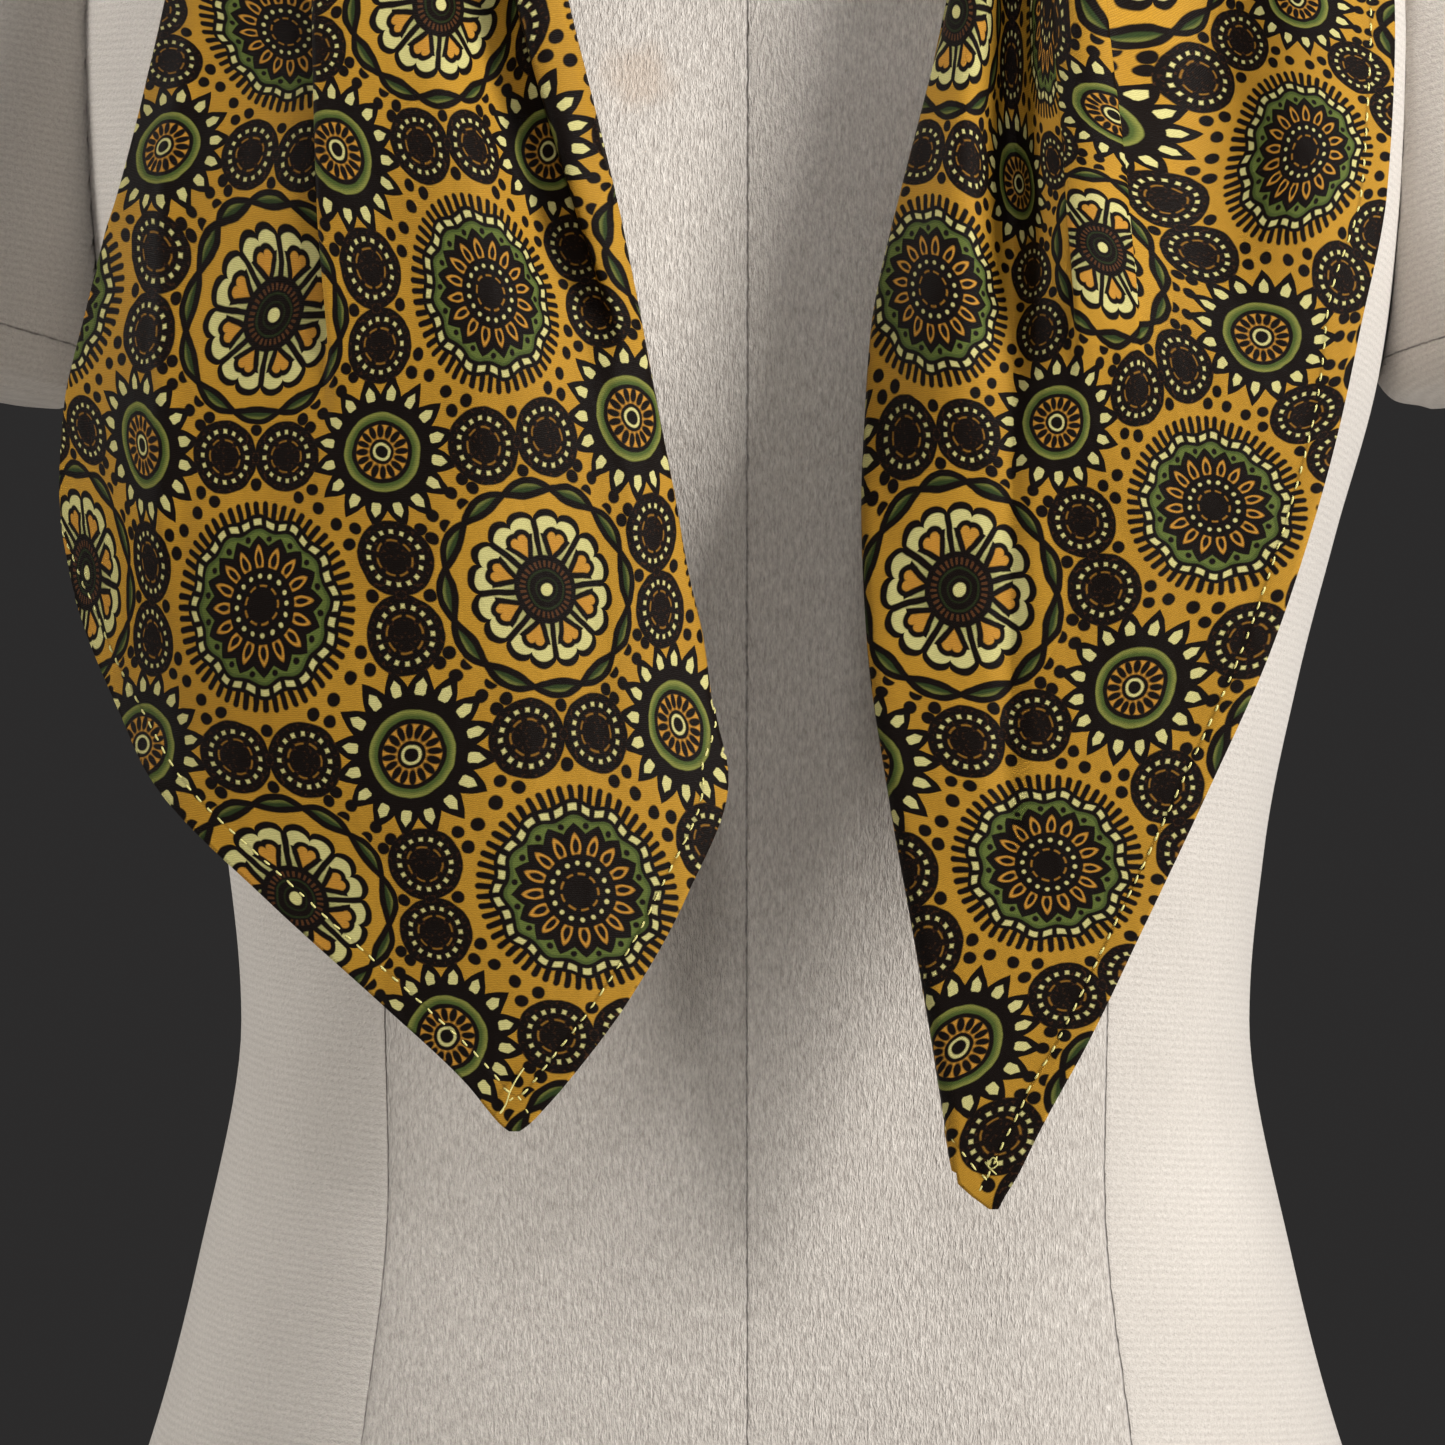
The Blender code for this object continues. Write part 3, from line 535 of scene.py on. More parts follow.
def make_rosette_group():
    """Rings r = level + 0.55 cos(12 angle), rounded rays outside them and open pointed loops inside."""
    group, given = new_group("rosette", *MOTIF_SOCKETS)
    r, angle = polar(given["Place"])
    wavy = r - math("COSINE", angle * ROSETTE_LOBES) * 0.55
    ray_across = beside_spoke(r, angle, ROSETTE_RAYS)[1]
    ray_end = size_of(vector(ray_across, math("MAXIMUM", r - 21.9, 0.0)))
    rays = both(below(ray_end, 0.72, SOFT), below(17.0, r, SOFT))
    t, across = beside_spoke(r, angle, ROSETTE_PETALS)
    between = 0.5 - t
    zigzag = r - 14.9 + t * 4.6
    narrowed = across / 0.95 + math("MAXIMUM", r - 9.9, 0.0) * 0.12
    loop = size_of(vector(narrowed, (r - 9.9) / 2.2))
    dot = distance(vector(between * r * (2 * np.pi / ROSETTE_PETALS), r), 0.0, 14.2)
    bead = distance(vector(across, r), 0.0, 6.2)

    colour = paint(INK, both(span(wavy, 16.9, 18.3), below(0.2, folded(angle, 34), 0.1)), CREAM)
    colour = paint(colour, below(wavy, 15.9, SOFT), paint(LEAF, below(15.2, wavy, SOFT) * 0.5, LEAF_DIM))
    colour = paint(colour, below(dot, 0.72, SOFT), INK)
    colour = paint(colour, below(zigzag, 0.0, SOFT), INK)
    colour = paint(colour, both(line(loop - 1.0, 0.5), below(8.1, r, SOFT)), SEED_ORANGE)
    colour = paint(colour, below(bead, 0.5, SOFT), CREAM)
    broken = both(line(r - 4.0, 0.45), below(folded(angle, 9), 0.3, 0.1))
    colour = paint(colour, broken * 0.6, SEED_ORANGE)
    mask = math("MAXIMUM", below(wavy, 19.3, SOFT), rays)
    close_group(group, {"Color": colour, "Mask": mask})
    return group


rosette_group = make_rosette_group()

# %% Star with dark spikes
STAR_SPIKES = 16


def make_star_group():
    """Spikes r = 18.5 - 9.2 t, with t from 0 on a spike to a half between two, and a kite in each."""
    group, given = new_group("star", *MOTIF_SOCKETS)
    r, angle = polar(given["Place"])
    t, across = beside_spoke(r, angle, STAR_SPIKES, turn=0.5)
    edge = r - 18.5 + t * 9.2
    blunt = math("MAXIMUM", across / 1.1, (13.6 - r) / 1.3)
    kite = math("MAXIMUM", across / 1.8 + math("ABSOLUTE", r - 13.6) / 2.2, blunt)
    seed_across = beside_spoke(r, angle, STAR_SPIKES)[1]
    seed = size_of(vector(seed_across / 0.82, (r - 5.0) / 1.75))
    colour = paint(INK, below(kite, 1.0, SOFT / 2), CREAM)
    colour = paint(colour, span(r, 7.5, 9.4), paint(LEAF_PALE, below(r, 8.5, 1.0), LEAF_DEEP))
    colour = paint(colour, span(r, 3.1, 6.4), SEED_ORANGE)
    colour = paint(colour, below(seed, 1.0, 0.4), INK)
    colour = paint(colour, line(r - 1.9, 0.62), CREAM)
    close_group(group, {"Color": colour, "Mask": below(edge, 0.0, SOFT)})
    return group


star_group = make_star_group()

# %% Roundel
ROUNDEL_BEADS = 16


def make_roundel_group():
    """A dark disc with square beads on a ring, and a broken ring inside."""
    group, given = new_group("roundel", *MOTIF_SOCKETS)
    r, angle = polar(given["Place"])
    across = beside_spoke(r, angle, ROUNDEL_BEADS)[1]
    bead = math("MAXIMUM", across, math("ABSOLUTE", r - 6.0))
    specks = ramp(noise(given["Place"], 1.1, 2.0), 0.56, 0.72) * 0.4
    colour = paint(paint(INK, specks, INK_BROWN), below(bead, 0.45, SOFT), CREAM)
    broken = both(line(r - 4.0, 0.4), below(folded(angle, 7, turn=0.2), 0.3, 0.1))
    colour = paint(colour, broken * 0.5, SEED_ORANGE)
    close_group(group, {"Color": colour, "Mask": below(r, 8.6, SOFT)})
    return group


roundel_group = make_roundel_group()

# %% The repeat
Dot = namedtuple("Dot", "along across")
DOTS_BY_ROSETTE = (Dot(25.7, 2.9), Dot(24.1, 8.2), Dot(28.0, 6.9))
DOTS_BY_FLOWER = (Dot(28.8, 3.6), Dot(25.3, 3.4), Dot(28.8, 8.0), Dot(25.9, 8.0))
DOT_RADIUS = 1.5
ROUNDEL_OFFSET = 8.3
PAIR_DOT = HALF_PITCH - 6.4


def nearest_dot(point, dots):
    """How far the nearest of some dots is: the least of the distances to them."""
    found = distance(point, dots[0].along, dots[0].across)
    for dot in dots[1:]:
        found = math("MINIMUM", found, distance(point, dot.along, dot.across))
    return found


def make_print_group():
    """Rounding finds the nearest lattice corner. Places there are folded over its axes and diagonals."""
    group, given = new_group("medallion_print", [("Place", POINT)], [("Color", COLOUR)])
    shake = vector_math("SCALE", vector_math("SUBTRACT", noise(given["Place"], 0.16, 2.0, output="Color"),
                                             (0.5, 0.5, 0.5)), 1.1)
    u, v, unused = parts(vector_math("ADD", given["Place"], shake))
    cell_u = math("ROUND", u / PITCH)
    cell_v = math("ROUND", v / PITCH)
    x = u - cell_u * PITCH
    y = v - cell_v * PITCH
    by_rosette = math("PINGPONG", cell_u + cell_v, 1.0)
    near_x, near_y = math("ABSOLUTE", x), math("ABSOLUTE", y)
    diagonal = vector((near_x + near_y) * 0.70711, math("ABSOLUTE", near_x - near_y) * 0.70711)
    beside = vector(math("MAXIMUM", near_x, near_y), math("MINIMUM", near_x, near_y))
    corner = vector(x, y)

    dots = paint_number(nearest_dot(diagonal, DOTS_BY_FLOWER), by_rosette,
                        nearest_dot(diagonal, DOTS_BY_ROSETTE))
    dots = math("MINIMUM", dots, distance(beside, PAIR_DOT, 0.0))
    worn = ramp(noise(given["Place"], 0.03, 3.0), 0.3, 0.7)
    colour = paint(GROUND, worn * 0.35, GROUND_DIM)
    colour = paint(colour, below(dots, DOT_RADIUS, SOFT), INK)
    roundel_place = vector_math("SUBTRACT", beside, (HALF_PITCH, ROUNDEL_OFFSET, 0.0))
    star_place = vector(HALF_PITCH - near_x, HALF_PITCH - near_y)
    for motif, place, where in (
            (flower_group, corner, 1.0 - by_rosette), (rosette_group, corner, by_rosette),
            (star_group, star_place, 1.0), (roundel_group, roundel_place, 1.0)):
        drawn = use_group(group, motif, {"Place": place})
        colour = paint(colour, drawn["Mask"] * where, drawn["Color"])
    close_group(group, {"Color": colour})
    return group


print_group = make_print_group()
print(len(print_group.nodes), "nodes in the repeat")

# %% Weave group and cloth material
def make_weave_group():
    """Fine threads: two crossing waves, the filling stronger than the warp, uneven from thread to thread."""
    group, given = new_group("fine_weave", [("Place", POINT), ("Thread", NUMBER)], [("Height", NUMBER)])
    x, y, z = parts(given["Place"])
    uneven = noise(given["Place"], 1.3, 2.0)
    filling = math("SINE", (y / given["Thread"] + uneven * 1.5) * (2 * np.pi))
    warp = math("SINE", (x / given["Thread"] * 1.7 + uneven) * (2 * np.pi))
    close_group(group, {"Height": filling * 0.35 + warp * 0.15 + uneven * 0.6})
    return group


weave_group = make_weave_group()
THREAD_MM = 0.42
HEM_FOLD_MM = 5.6
CREASE_WIDTH_MM = 13.0
CREASE_LENGTH_MM = 34.0
CREASE_HEIGHT = 0.001


def make_scarf_cloth():
    """The print over a fine weave. The map is in metres from a flower's centre, the print in millimetres."""
    material = plain_material("scarf_print", GROUND, 0.5)
    tree = material.node_tree
    shader = tree.nodes["Principled BSDF"]
    place = vector_math("SCALE", map_field(tree, "cloth"), 1000.0)
    to_hem, reverse, unused = parts(map_field(tree, "hem"))
    printed = use_group(tree, print_group, {"Place": place})["Color"]
    weave = use_group(tree, weave_group, {"Place": place, "Thread": THREAD_MM})["Height"]
    colour = paint(printed, ramp(weave, 0.0, 0.8, 0.28, 0.0), INK)
    colour = paint(colour, reverse * 0.45, GROUND_DIM)
    # painted shade: a thin dark line along the fold where the turned hem ends, standing for the shade that
    # falls in that crease
    hem_fold_shade = below(math("ABSOLUTE", to_hem * 1000.0 - HEM_FOLD_MM), 0.3, 0.5)
    colour = paint(colour, hem_fold_shade * 0.35, INK)
    feed(colour, shader.inputs["Base Color"])
    feed(ramp(weave, 0.0, 0.8, 0.58, 0.44), shader.inputs["Roughness"])
    shader.inputs["Specular IOR Level"].default_value = 0.06
    across, along, unused = parts(place)
    creases = noise(vector(across / CREASE_WIDTH_MM, along / CREASE_LENGTH_MM), 1.0, 2.5, 0.55)
    add_relief(tree, weave * 0.07 + creases * 1.3, CREASE_HEIGHT)
    return material


def make_thread():
    """Pale yellow sewing thread, with a fine twist."""
    material = plain_material("sewing_thread", linear(208, 200, 118), 0.55)
    tree = material.node_tree
    place = tree.nodes.new("ShaderNodeTexCoord")
    twist = noise(Field(place.outputs["Object"]), 2600.0, 1.0)
    feed(paint(linear(216, 208, 132), ramp(twist, 0.35, 0.65, 0.0, 0.5), linear(166, 156, 78)),
         tree.nodes["Principled BSDF"].inputs["Base Color"])
    return material


scarf_cloth = make_scarf_cloth()
sewing_thread = make_thread()
print("cloth and thread ready")

# %% [markdown]
# ## Pieces from grids of points
#
# Every soft surface here is a grid: rows one way, columns the other, worked out for all places at once. One
# function puts such arrays into a mesh. It takes the faces as arrays of point numbers, leaves out points that
# no face uses, and writes the maps that the materials read. Another turns a single sheet into a thin shell,
# with a rounded rim, because cloth has a thickness that catches light along its hems.

# %% Mesh helpers
SHARP_ANGLE = np.radians(60)


def grid_quads(rows, columns):
    """Point numbers of a grid's quads, row by row, anticlockwise as seen from outside."""
    corner = (np.arange(rows - 1)[:, None] * columns + np.arange(columns - 1)).ravel()
    return np.stack([corner, corner + 1, corner + columns + 1, corner + columns], axis=1)


def make_piece(name, points, faces, maps, material, weld=None):
    """A mesh object that rides on the part's one body. Each map gives two numbers for every point."""
    source = np.concatenate([part.ravel() for part in faces])
    sizes = np.concatenate([np.full(len(part), part.shape[1]) for part in faces])
    used, corner = np.unique(source if weld is None else weld[source], return_inverse=True)
    mesh = bpy.data.meshes.new(name)
    mesh.vertices.add(len(used))
    mesh.vertices.foreach_set("co", points[used].astype(np.float32).ravel())
    mesh.loops.add(len(corner))
    mesh.loops.foreach_set("vertex_index", corner.astype(np.int32).ravel())
    mesh.polygons.add(len(sizes))
    mesh.polygons.foreach_set("loop_start", np.concatenate([[0], np.cumsum(sizes)[:-1]]).astype(np.int32))
    mesh.update(calc_edges=True)
    for label, values in maps.items():
        layer = mesh.uv_layers.new(name=label)
        layer.data.foreach_set("uv", values[source].astype(np.float32).ravel())
    mesh.shade_smooth()
    mesh.set_sharp_from_angle(angle=SHARP_ANGLE)
    mesh.materials.append(material)
    piece = bpy.data.objects.new(name, mesh)
    bpy.context.scene.collection.objects.link(piece)
    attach(piece, "root")
    print(name, "has", int((sizes - 2).sum()), "triangles")
    return piece


def unit(arrows):
    """Arrows of length 1 with the same directions."""
    return arrows / np.maximum(np.linalg.norm(arrows, axis=-1, keepdims=True), 1e-12)


def cloth_shell(name, grid, thickness, maps, material):
    """Two skins half a thickness either side of a grid, and a rim that stands out half a thickness between.

    The grid holds no numbers where there is no cloth. The second number of the map called hem is 1 on the
    skin that faces the form, so that the material can show the print's paler back.
    """
    rows, columns = grid.shape[:2]
    points = grid.reshape(-1, 3)
    quads = grid_quads(rows, columns)
    quads = quads[np.isfinite(points[quads, 0]).all(axis=1)]
    corners = points[quads]
    facing = unit(np.cross(corners[:, 2] - corners[:, 0], corners[:, 3] - corners[:, 1]))
    normal = np.zeros_like(points)
    np.add.at(normal, quads.ravel(), np.repeat(facing, 4, axis=0))
    normal = unit(normal)

    edges = quads[:, [0, 1, 1, 2, 2, 3, 3, 0]].reshape(-1, 2)
    at, times = np.unique(np.sort(edges, axis=1), axis=0, return_inverse=True, return_counts=True)[1:]
    rim = edges[times[at.ravel()] == 1]
    away = np.zeros_like(points)
    along = points[rim[:, 1]] - points[rim[:, 0]]
    np.add.at(away, rim.ravel(), np.repeat(unit(np.cross(along, normal[rim[:, 0]])), 2, axis=0))
    half = thickness.reshape(-1, 1) / 2
    count = len(points)
    skins = np.concatenate([points + normal * half, points - normal * half, points + unit(away) * half])
    start, end = rim.T
    faces = [quads, quads[:, ::-1] + count,
             np.stack([end, start, start + 2 * count, end + 2 * count], axis=1),
             np.stack([start + count, end + count, end + 2 * count, start + 2 * count], axis=1)]
    spread = {label: np.concatenate([values.reshape(-1, 2)] * 3) for label, values in maps.items()}
    spread["hem"][count:2 * count, 1] = 1.0
    return make_piece(name, skins, faces, spread, material)


def smooth_curve(known_at, known, at):
    """A smooth curve through known values that never overshoots them, held level past both ends.

    Each slope is the harmonic mean of the climbs on its two sides, or nothing at a peak.
    """
    known_at = np.asarray(known_at, float)
    known = np.asarray(known, float)
    at = np.clip(at, known_at[0], known_at[-1])
    step = np.diff(known_at)
    climb = np.diff(known) / step
    slope = np.zeros_like(known)
    same_way = climb[:-1] * climb[1:] > 0
    total = np.where(same_way, climb[:-1] + climb[1:], 1.0)
    slope[1:-1] = np.where(same_way, 2 * climb[:-1] * climb[1:] / total, 0.0)
    slope[0] = climb[0]
    slope[-1] = climb[-1]
    cell = np.clip(np.searchsorted(known_at, at) - 1, 0, len(step) - 1)
    width = step[cell]
    t = (at - known_at[cell]) / width
    start = known[cell] * (1 + 2 * t) * (1 - t) ** 2 + slope[cell] * width * t * (1 - t) ** 2
    end = known[cell + 1] * t * t * (3 - 2 * t) + slope[cell + 1] * width * t * t * (t - 1)
    return start + end


def column(table, name, at, along="z"):
    """A table's column at each place along another of its columns, or along its row numbers."""
    places = range(len(table)) if along == "row" else [getattr(row, along) for row in table]
    return smooth_curve(places, [getattr(row, name) for row in table], at)


def smooth_step(value):
    """0 below 0, 1 above 1, and an even S between."""
    t = np.clip(value, 0.0, 1.0)
    return t * t * (3 - 2 * t)


def each_row(known_at, known, at):
    """Straight interpolation row by row."""
    return np.array([np.interp(places, x, y) for places, x, y in zip(at, known_at, known)])


def points_at(at, known_at, known):
    """Straight interpolation of points along one line."""
    return np.stack([np.interp(at, known_at, values) for values in known.T], axis=-1)


def lengths_along(points):
    """How far along its line each point lies, for one line or for many. A gap adds nothing."""
    steps = np.nan_to_num(np.linalg.norm(np.diff(points, axis=-2), axis=-1))
    return np.concatenate([np.zeros((*steps.shape[:-1], 1)), np.cumsum(steps, axis=-1)], axis=-1)


print("mesh tools ready")

# %% [markdown]
# ## The body of the form
#
# The body is a stack of rounded sections, each a superellipse: a circle whose two directions are raised to a
# power, which makes it a little square. The bust is a smooth swell added to the front. A real cover is sewn
# from eight panels, and each seam pulls the padding in, so a column of the grid runs down each seam, with
# close columns beside it, and the surface sinks there as a soft groove with a fine crease in its middle.

# %% Sections of the form
Section = namedtuple("Section", "z half_width front back rise squareness")
FORM = (
    Section(0.000, 0.154, 0.088, 0.104, 0.000, 2.3),
    Section(0.006, 0.160, 0.094, 0.110, 0.000, 2.3),
    Section(0.030, 0.166, 0.098, 0.118, 0.000, 2.3),
    Section(0.065, 0.168, 0.102, 0.122, 0.000, 2.3),
    Section(0.110, 0.158, 0.104, 0.114, 0.000, 2.3),
    Section(0.149, 0.1418, 0.102, 0.103, 0.000, 2.3),
    Section(0.195, 0.1295, 0.097, 0.092, 0.000, 2.3),
    Section(0.250, 0.1195, 0.092, 0.084, 0.000, 2.3),
    Section(0.291, 0.1230, 0.095, 0.086, 0.000, 2.3),
    Section(0.330, 0.1305, 0.101, 0.092, 0.000, 2.4),
    Section(0.365, 0.1395, 0.106, 0.098, 0.000, 2.4),
    Section(0.404, 0.1500, 0.110, 0.104, 0.000, 2.4),
    Section(0.450, 0.1560, 0.107, 0.108, 0.000, 2.4),
    Section(0.500, 0.1600, 0.097, 0.110, 0.000, 2.4),
    Section(0.545, 0.1620, 0.084, 0.106, 0.002, 2.4),
    Section(0.580, 0.1600, 0.070, 0.097, 0.005, 2.4),
    Section(0.602, 0.1500, 0.060, 0.087, 0.008, 2.3),
    Section(0.618, 0.1300, 0.054, 0.077, 0.010, 2.2),
    Section(0.632, 0.1020, 0.050, 0.068, 0.012, 2.1),
    Section(0.646, 0.0740, 0.048, 0.060, 0.013, 2.0),
    Section(0.664, 0.0590, 0.047, 0.053, 0.011, 2.0),
    Section(0.690, 0.0530, 0.047, 0.050, 0.007, 2.0),
    Section(0.720, 0.0520, 0.048, 0.050, 0.003, 2.0),
)
BUST_X = 0.078
BUST_MIDDLE = 0.012
BUST_Z = 0.418
BUST_RISE = 0.030
BUST_SPREAD = 0.046
BUST_ABOVE = 0.062
BUST_BELOW = 0.040
BUST_FRONT = 0.5


def form_point(place, angle):
    """Points on the form at rows of its table and angles round it: 0 at +X, a quarter turn at the back.

    x = half width times cos^(2/n), y = depth times sin^(2/n), and the bust is a bell on each side, taken off
    y in front, with a rounded hollow between the two.
    """
    place, angle = np.broadcast_arrays(np.asarray(place, float), np.asarray(angle, float))
    names = ("half_width", "front", "back", "rise", "squareness", "z")
    half_width, front, back, rise, squareness, z = (column(FORM, name, place, "row") for name in names)
    across = np.cos(angle)
    deep = np.sin(angle)
    x = half_width * np.sign(across) * np.abs(across) ** (2 / squareness)
    y = np.where(deep > 0, back, front) * np.sign(deep) * np.abs(deep) ** (2 / squareness)
    z = z + rise * deep
    spread = np.where(z > BUST_Z, BUST_ABOVE, BUST_BELOW)
    sideways = (np.hypot(x, BUST_MIDDLE) - BUST_X) / BUST_SPREAD
    swell = np.exp(-0.5 * sideways**2 - 0.5 * ((z - BUST_Z) / spread) ** 2)
    y = y - BUST_RISE * swell * smooth_step(-deep / BUST_FRONT)
    return np.stack([x, y, z], axis=-1)


def form_normal(place, angle):
    """Unit outward directions of the form's surface, from two small steps along it."""
    small = 1e-3
    up = form_point(place + small, angle) - form_point(place - small, angle)
    round_it = form_point(place, angle + small) - form_point(place, angle - small)
    return unit(np.cross(round_it, up))


# %% Seams of the cover
Princess = namedtuple("Princess", "z x")
PRINCESS = (
    Princess(0.000, 0.0950), Princess(0.110, 0.0935), Princess(0.160, 0.0865), Princess(0.215, 0.0810),
    Princess(0.260, 0.0820), Princess(0.330, 0.0815), Princess(0.418, 0.0780), Princess(0.500, 0.0830),
    Princess(0.560, 0.0880), Princess(0.610, 0.0920), Princess(0.640, 0.0480), Princess(0.720, 0.0300),
)
PRINCESS_MOST = 0.93
SEAM_COLUMNS = (0.0, 0.0004, 0.0009, 0.0016, 0.0030, 0.0055)
PANEL_COLUMNS = 15
BODY_ROWS = 230
GROOVE_DEPTH = 0.00022
GROOVE_WIDTH = 0.0006
PULL_DEPTH = 0.00015
PULL_WIDTH = 0.0042
CAP_HEIGHT = 0.004
CAP_DEGREES = (12, 25, 40, 55, 68, 79, 86)
ROUND_SAMPLES = 1441


def body_columns(place):
    """Angles of the columns of each row, with the distance to the nearest seam and the depth inside a panel.

    Each row's length is measured in fine steps, the seams are found on it, and the columns are spread between
    them: at fixed distances beside a seam, and evenly over the rest of the panel.
    """
    around = np.linspace(-np.pi / 2, 3 * np.pi / 2, ROUND_SAMPLES)
    fine = form_point(place[:, None], around[None, :])
    run = lengths_along(fine)
    names = ("z", "half_width", "squareness")
    z, half_width, squareness = (column(FORM, name, place, "row") for name in names)
    share = np.minimum(column(PRINCESS, "x", z) / half_width, PRINCESS_MOST)
    lean = np.arccos(share ** (squareness / 2))
    quarter = np.full_like(lean, np.pi / 2)
    seam_angle = np.stack([-quarter, -lean, 0 * lean, lean, quarter, 2 * quarter - lean, 2 * quarter,
                           2 * quarter + lean, 3 * quarter], axis=1)
    seam_run = each_row(np.broadcast_to(around, run.shape), run, seam_angle)
    near = np.array(SEAM_COLUMNS)
    even = np.linspace(0, 1, PANEL_COLUMNS + 2)[1:-1]
    columns, to_seam, inside = [], [], []
    for panel in range(8):
        start, end = seam_run[:, panel, None], seam_run[:, panel + 1, None]
        middle = start + near[-1] + even * (end - start - 2 * near[-1])
        panel_run = np.concatenate([start + near, middle, end - near[:0:-1]], axis=1)
        left, right = panel_run - start, end - panel_run
        columns.append(panel_run)
        to_seam.append(np.where(left < right, left, -right))
        is_middle = panel in (0, 3, 4, 7)
        princess_side = right if panel in (0, 4) else left
        inside.append(princess_side if is_middle else -np.minimum(
            left if panel in (1, 5) else right, np.minimum(left, right) + 1.0))
    columns.append(seam_run[:, -1:])
    to_seam.append(np.zeros((len(place), 1)))
    inside.append(inside[0][:, :1])
    run_at = np.concatenate(columns, axis=1)
    angle = each_row(run, np.broadcast_to(around, run.shape), run_at)
    return angle, run_at, np.concatenate(to_seam, axis=1), np.concatenate(inside, axis=1)


def ring_faces(rows, columns):
    """Quads of a closed stack of rings whose last column doubles the first, and a fan over each end.

    The two centre points follow the grid's points. Also gives which point stands for each doubled one.
    """
    count = rows * columns
    weld = np.arange(count + 2)
    weld[columns - 1:count:columns] = weld[0:count:columns]
    first = np.arange(columns - 1)
    last = first + (rows - 1) * columns
    low = np.stack([np.full_like(first, count), first + 1, first], axis=1)
    high = np.stack([np.full_like(first, count + 1), last, last + 1], axis=1)
    return [grid_quads(rows, columns), low, high], weld


def closed_rings(name, rings, maps, low, high, material):
    """A closed piece through rings of points, with the centres of its two ends."""
    faces, weld = ring_faces(*rings.shape[:2])
    points = np.concatenate([rings.reshape(-1, 3), [low, high]])
    spread = {label: np.concatenate([values.reshape(-1, 2), values[[0, -1]].mean(axis=1)])
              for label, values in maps.items()}
    return make_piece(name, points, faces, spread, material, weld)


# %% The body
def make_body():
    """Rings of points up the form, sunk at the seams, and a slightly domed cap over the neck."""
    place = np.linspace(0, len(FORM) - 1, BODY_ROWS)
    angle, run_at, to_seam, inside = body_columns(place)
    groove = GROOVE_DEPTH * np.exp(-(to_seam / GROOVE_WIDTH) ** 2)
    sink = groove + PULL_DEPTH * np.exp(-(to_seam / PULL_WIDTH) ** 2)
    points = form_point(place[:, None], angle) - form_normal(place[:, None], angle) * sink[..., None]
    points[0, :, 2] = 0.0
    height = np.broadcast_to(column(FORM, "z", place, "row")[:, None], angle.shape)
    cap = np.radians(CAP_DEGREES)
    top = points[-1] * (1, 1, 0) * np.cos(cap)[:, None, None]
    top[..., 2] = points[-1, :, 2] + CAP_HEIGHT * np.sin(cap)[:, None]
    rings = np.concatenate([points, top])
    cap_map = top[..., :2]
    from_front = run_at - run_at[:, -1:] * (angle > np.pi / 2)
    cloth = np.concatenate([np.stack([from_front, height], axis=-1), cap_map])
    seams = np.stack([to_seam, inside], axis=-1)
    seams = np.concatenate([seams, np.broadcast_to((0.05, 0.05), cap_map.shape)])
    piece = closed_rings("form_body", rings, {"cloth": cloth, "seams": seams}, (0, 0, 0),
                         (0, 0, top[-1, :, 2].mean()), body_cover)
    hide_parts("form_torso")
    return piece


body = make_body()

# %% [markdown]
# ## The arm stubs
#
# Each stub is a short padded tube with a rounded end. It hangs beside the shoulder and is pressed flat where
# it meets the body, so its points are held just outside the body's own section at their height.

# %% Arm sections
ArmRing = namedtuple("ArmRing", "along radius")
ARM = (
    ArmRing(-0.046, 0.010),
    ArmRing(-0.040, 0.026),
    ArmRing(-0.024, 0.040),
    ArmRing(0.000, 0.047),
    ArmRing(0.040, 0.047),
    ArmRing(0.080, 0.0455),
    ArmRing(0.120, 0.0440),
    ArmRing(0.150, 0.0428),
    ArmRing(0.159, 0.0395),
    ArmRing(0.162, 0.0335),
)
ARM_TOP = (0.1560, 0.004, 0.562)
ARM_END = (0.1930, -0.002, 0.405)
ARM_ROWS = 70
ARM_AROUND = 97
ARM_GAP = 0.0006
ARM_END_SEAM = 0.150
ARM_GROOVE_DEPTH = 0.0009
ARM_GROOVE_WIDTH = 0.0016
ARM_ROUNDING = 0.0035
ARM_ROUNDING_DEGREES = (20, 40, 58, 72, 83)
ARM_MAP_RADIUS = 0.046


def held_outside_body(points, side):
    """Points inside the body are moved sideways to its section x = half width (1 - |y/depth|^n)^(1/n)."""
    z, y = points[..., 2], points[..., 1]
    half_width, front, back, squareness = (
        column(FORM, name, z) for name in ("half_width", "front", "back", "squareness"))
    share = np.clip(np.abs(y) / np.where(y > 0, back, front), 0, 1)
    wall = half_width * (1 - share**squareness) ** (1 / squareness) + ARM_GAP
    held = points.copy()
    held[..., 0] = side * np.maximum(side * points[..., 0], wall)
    return held


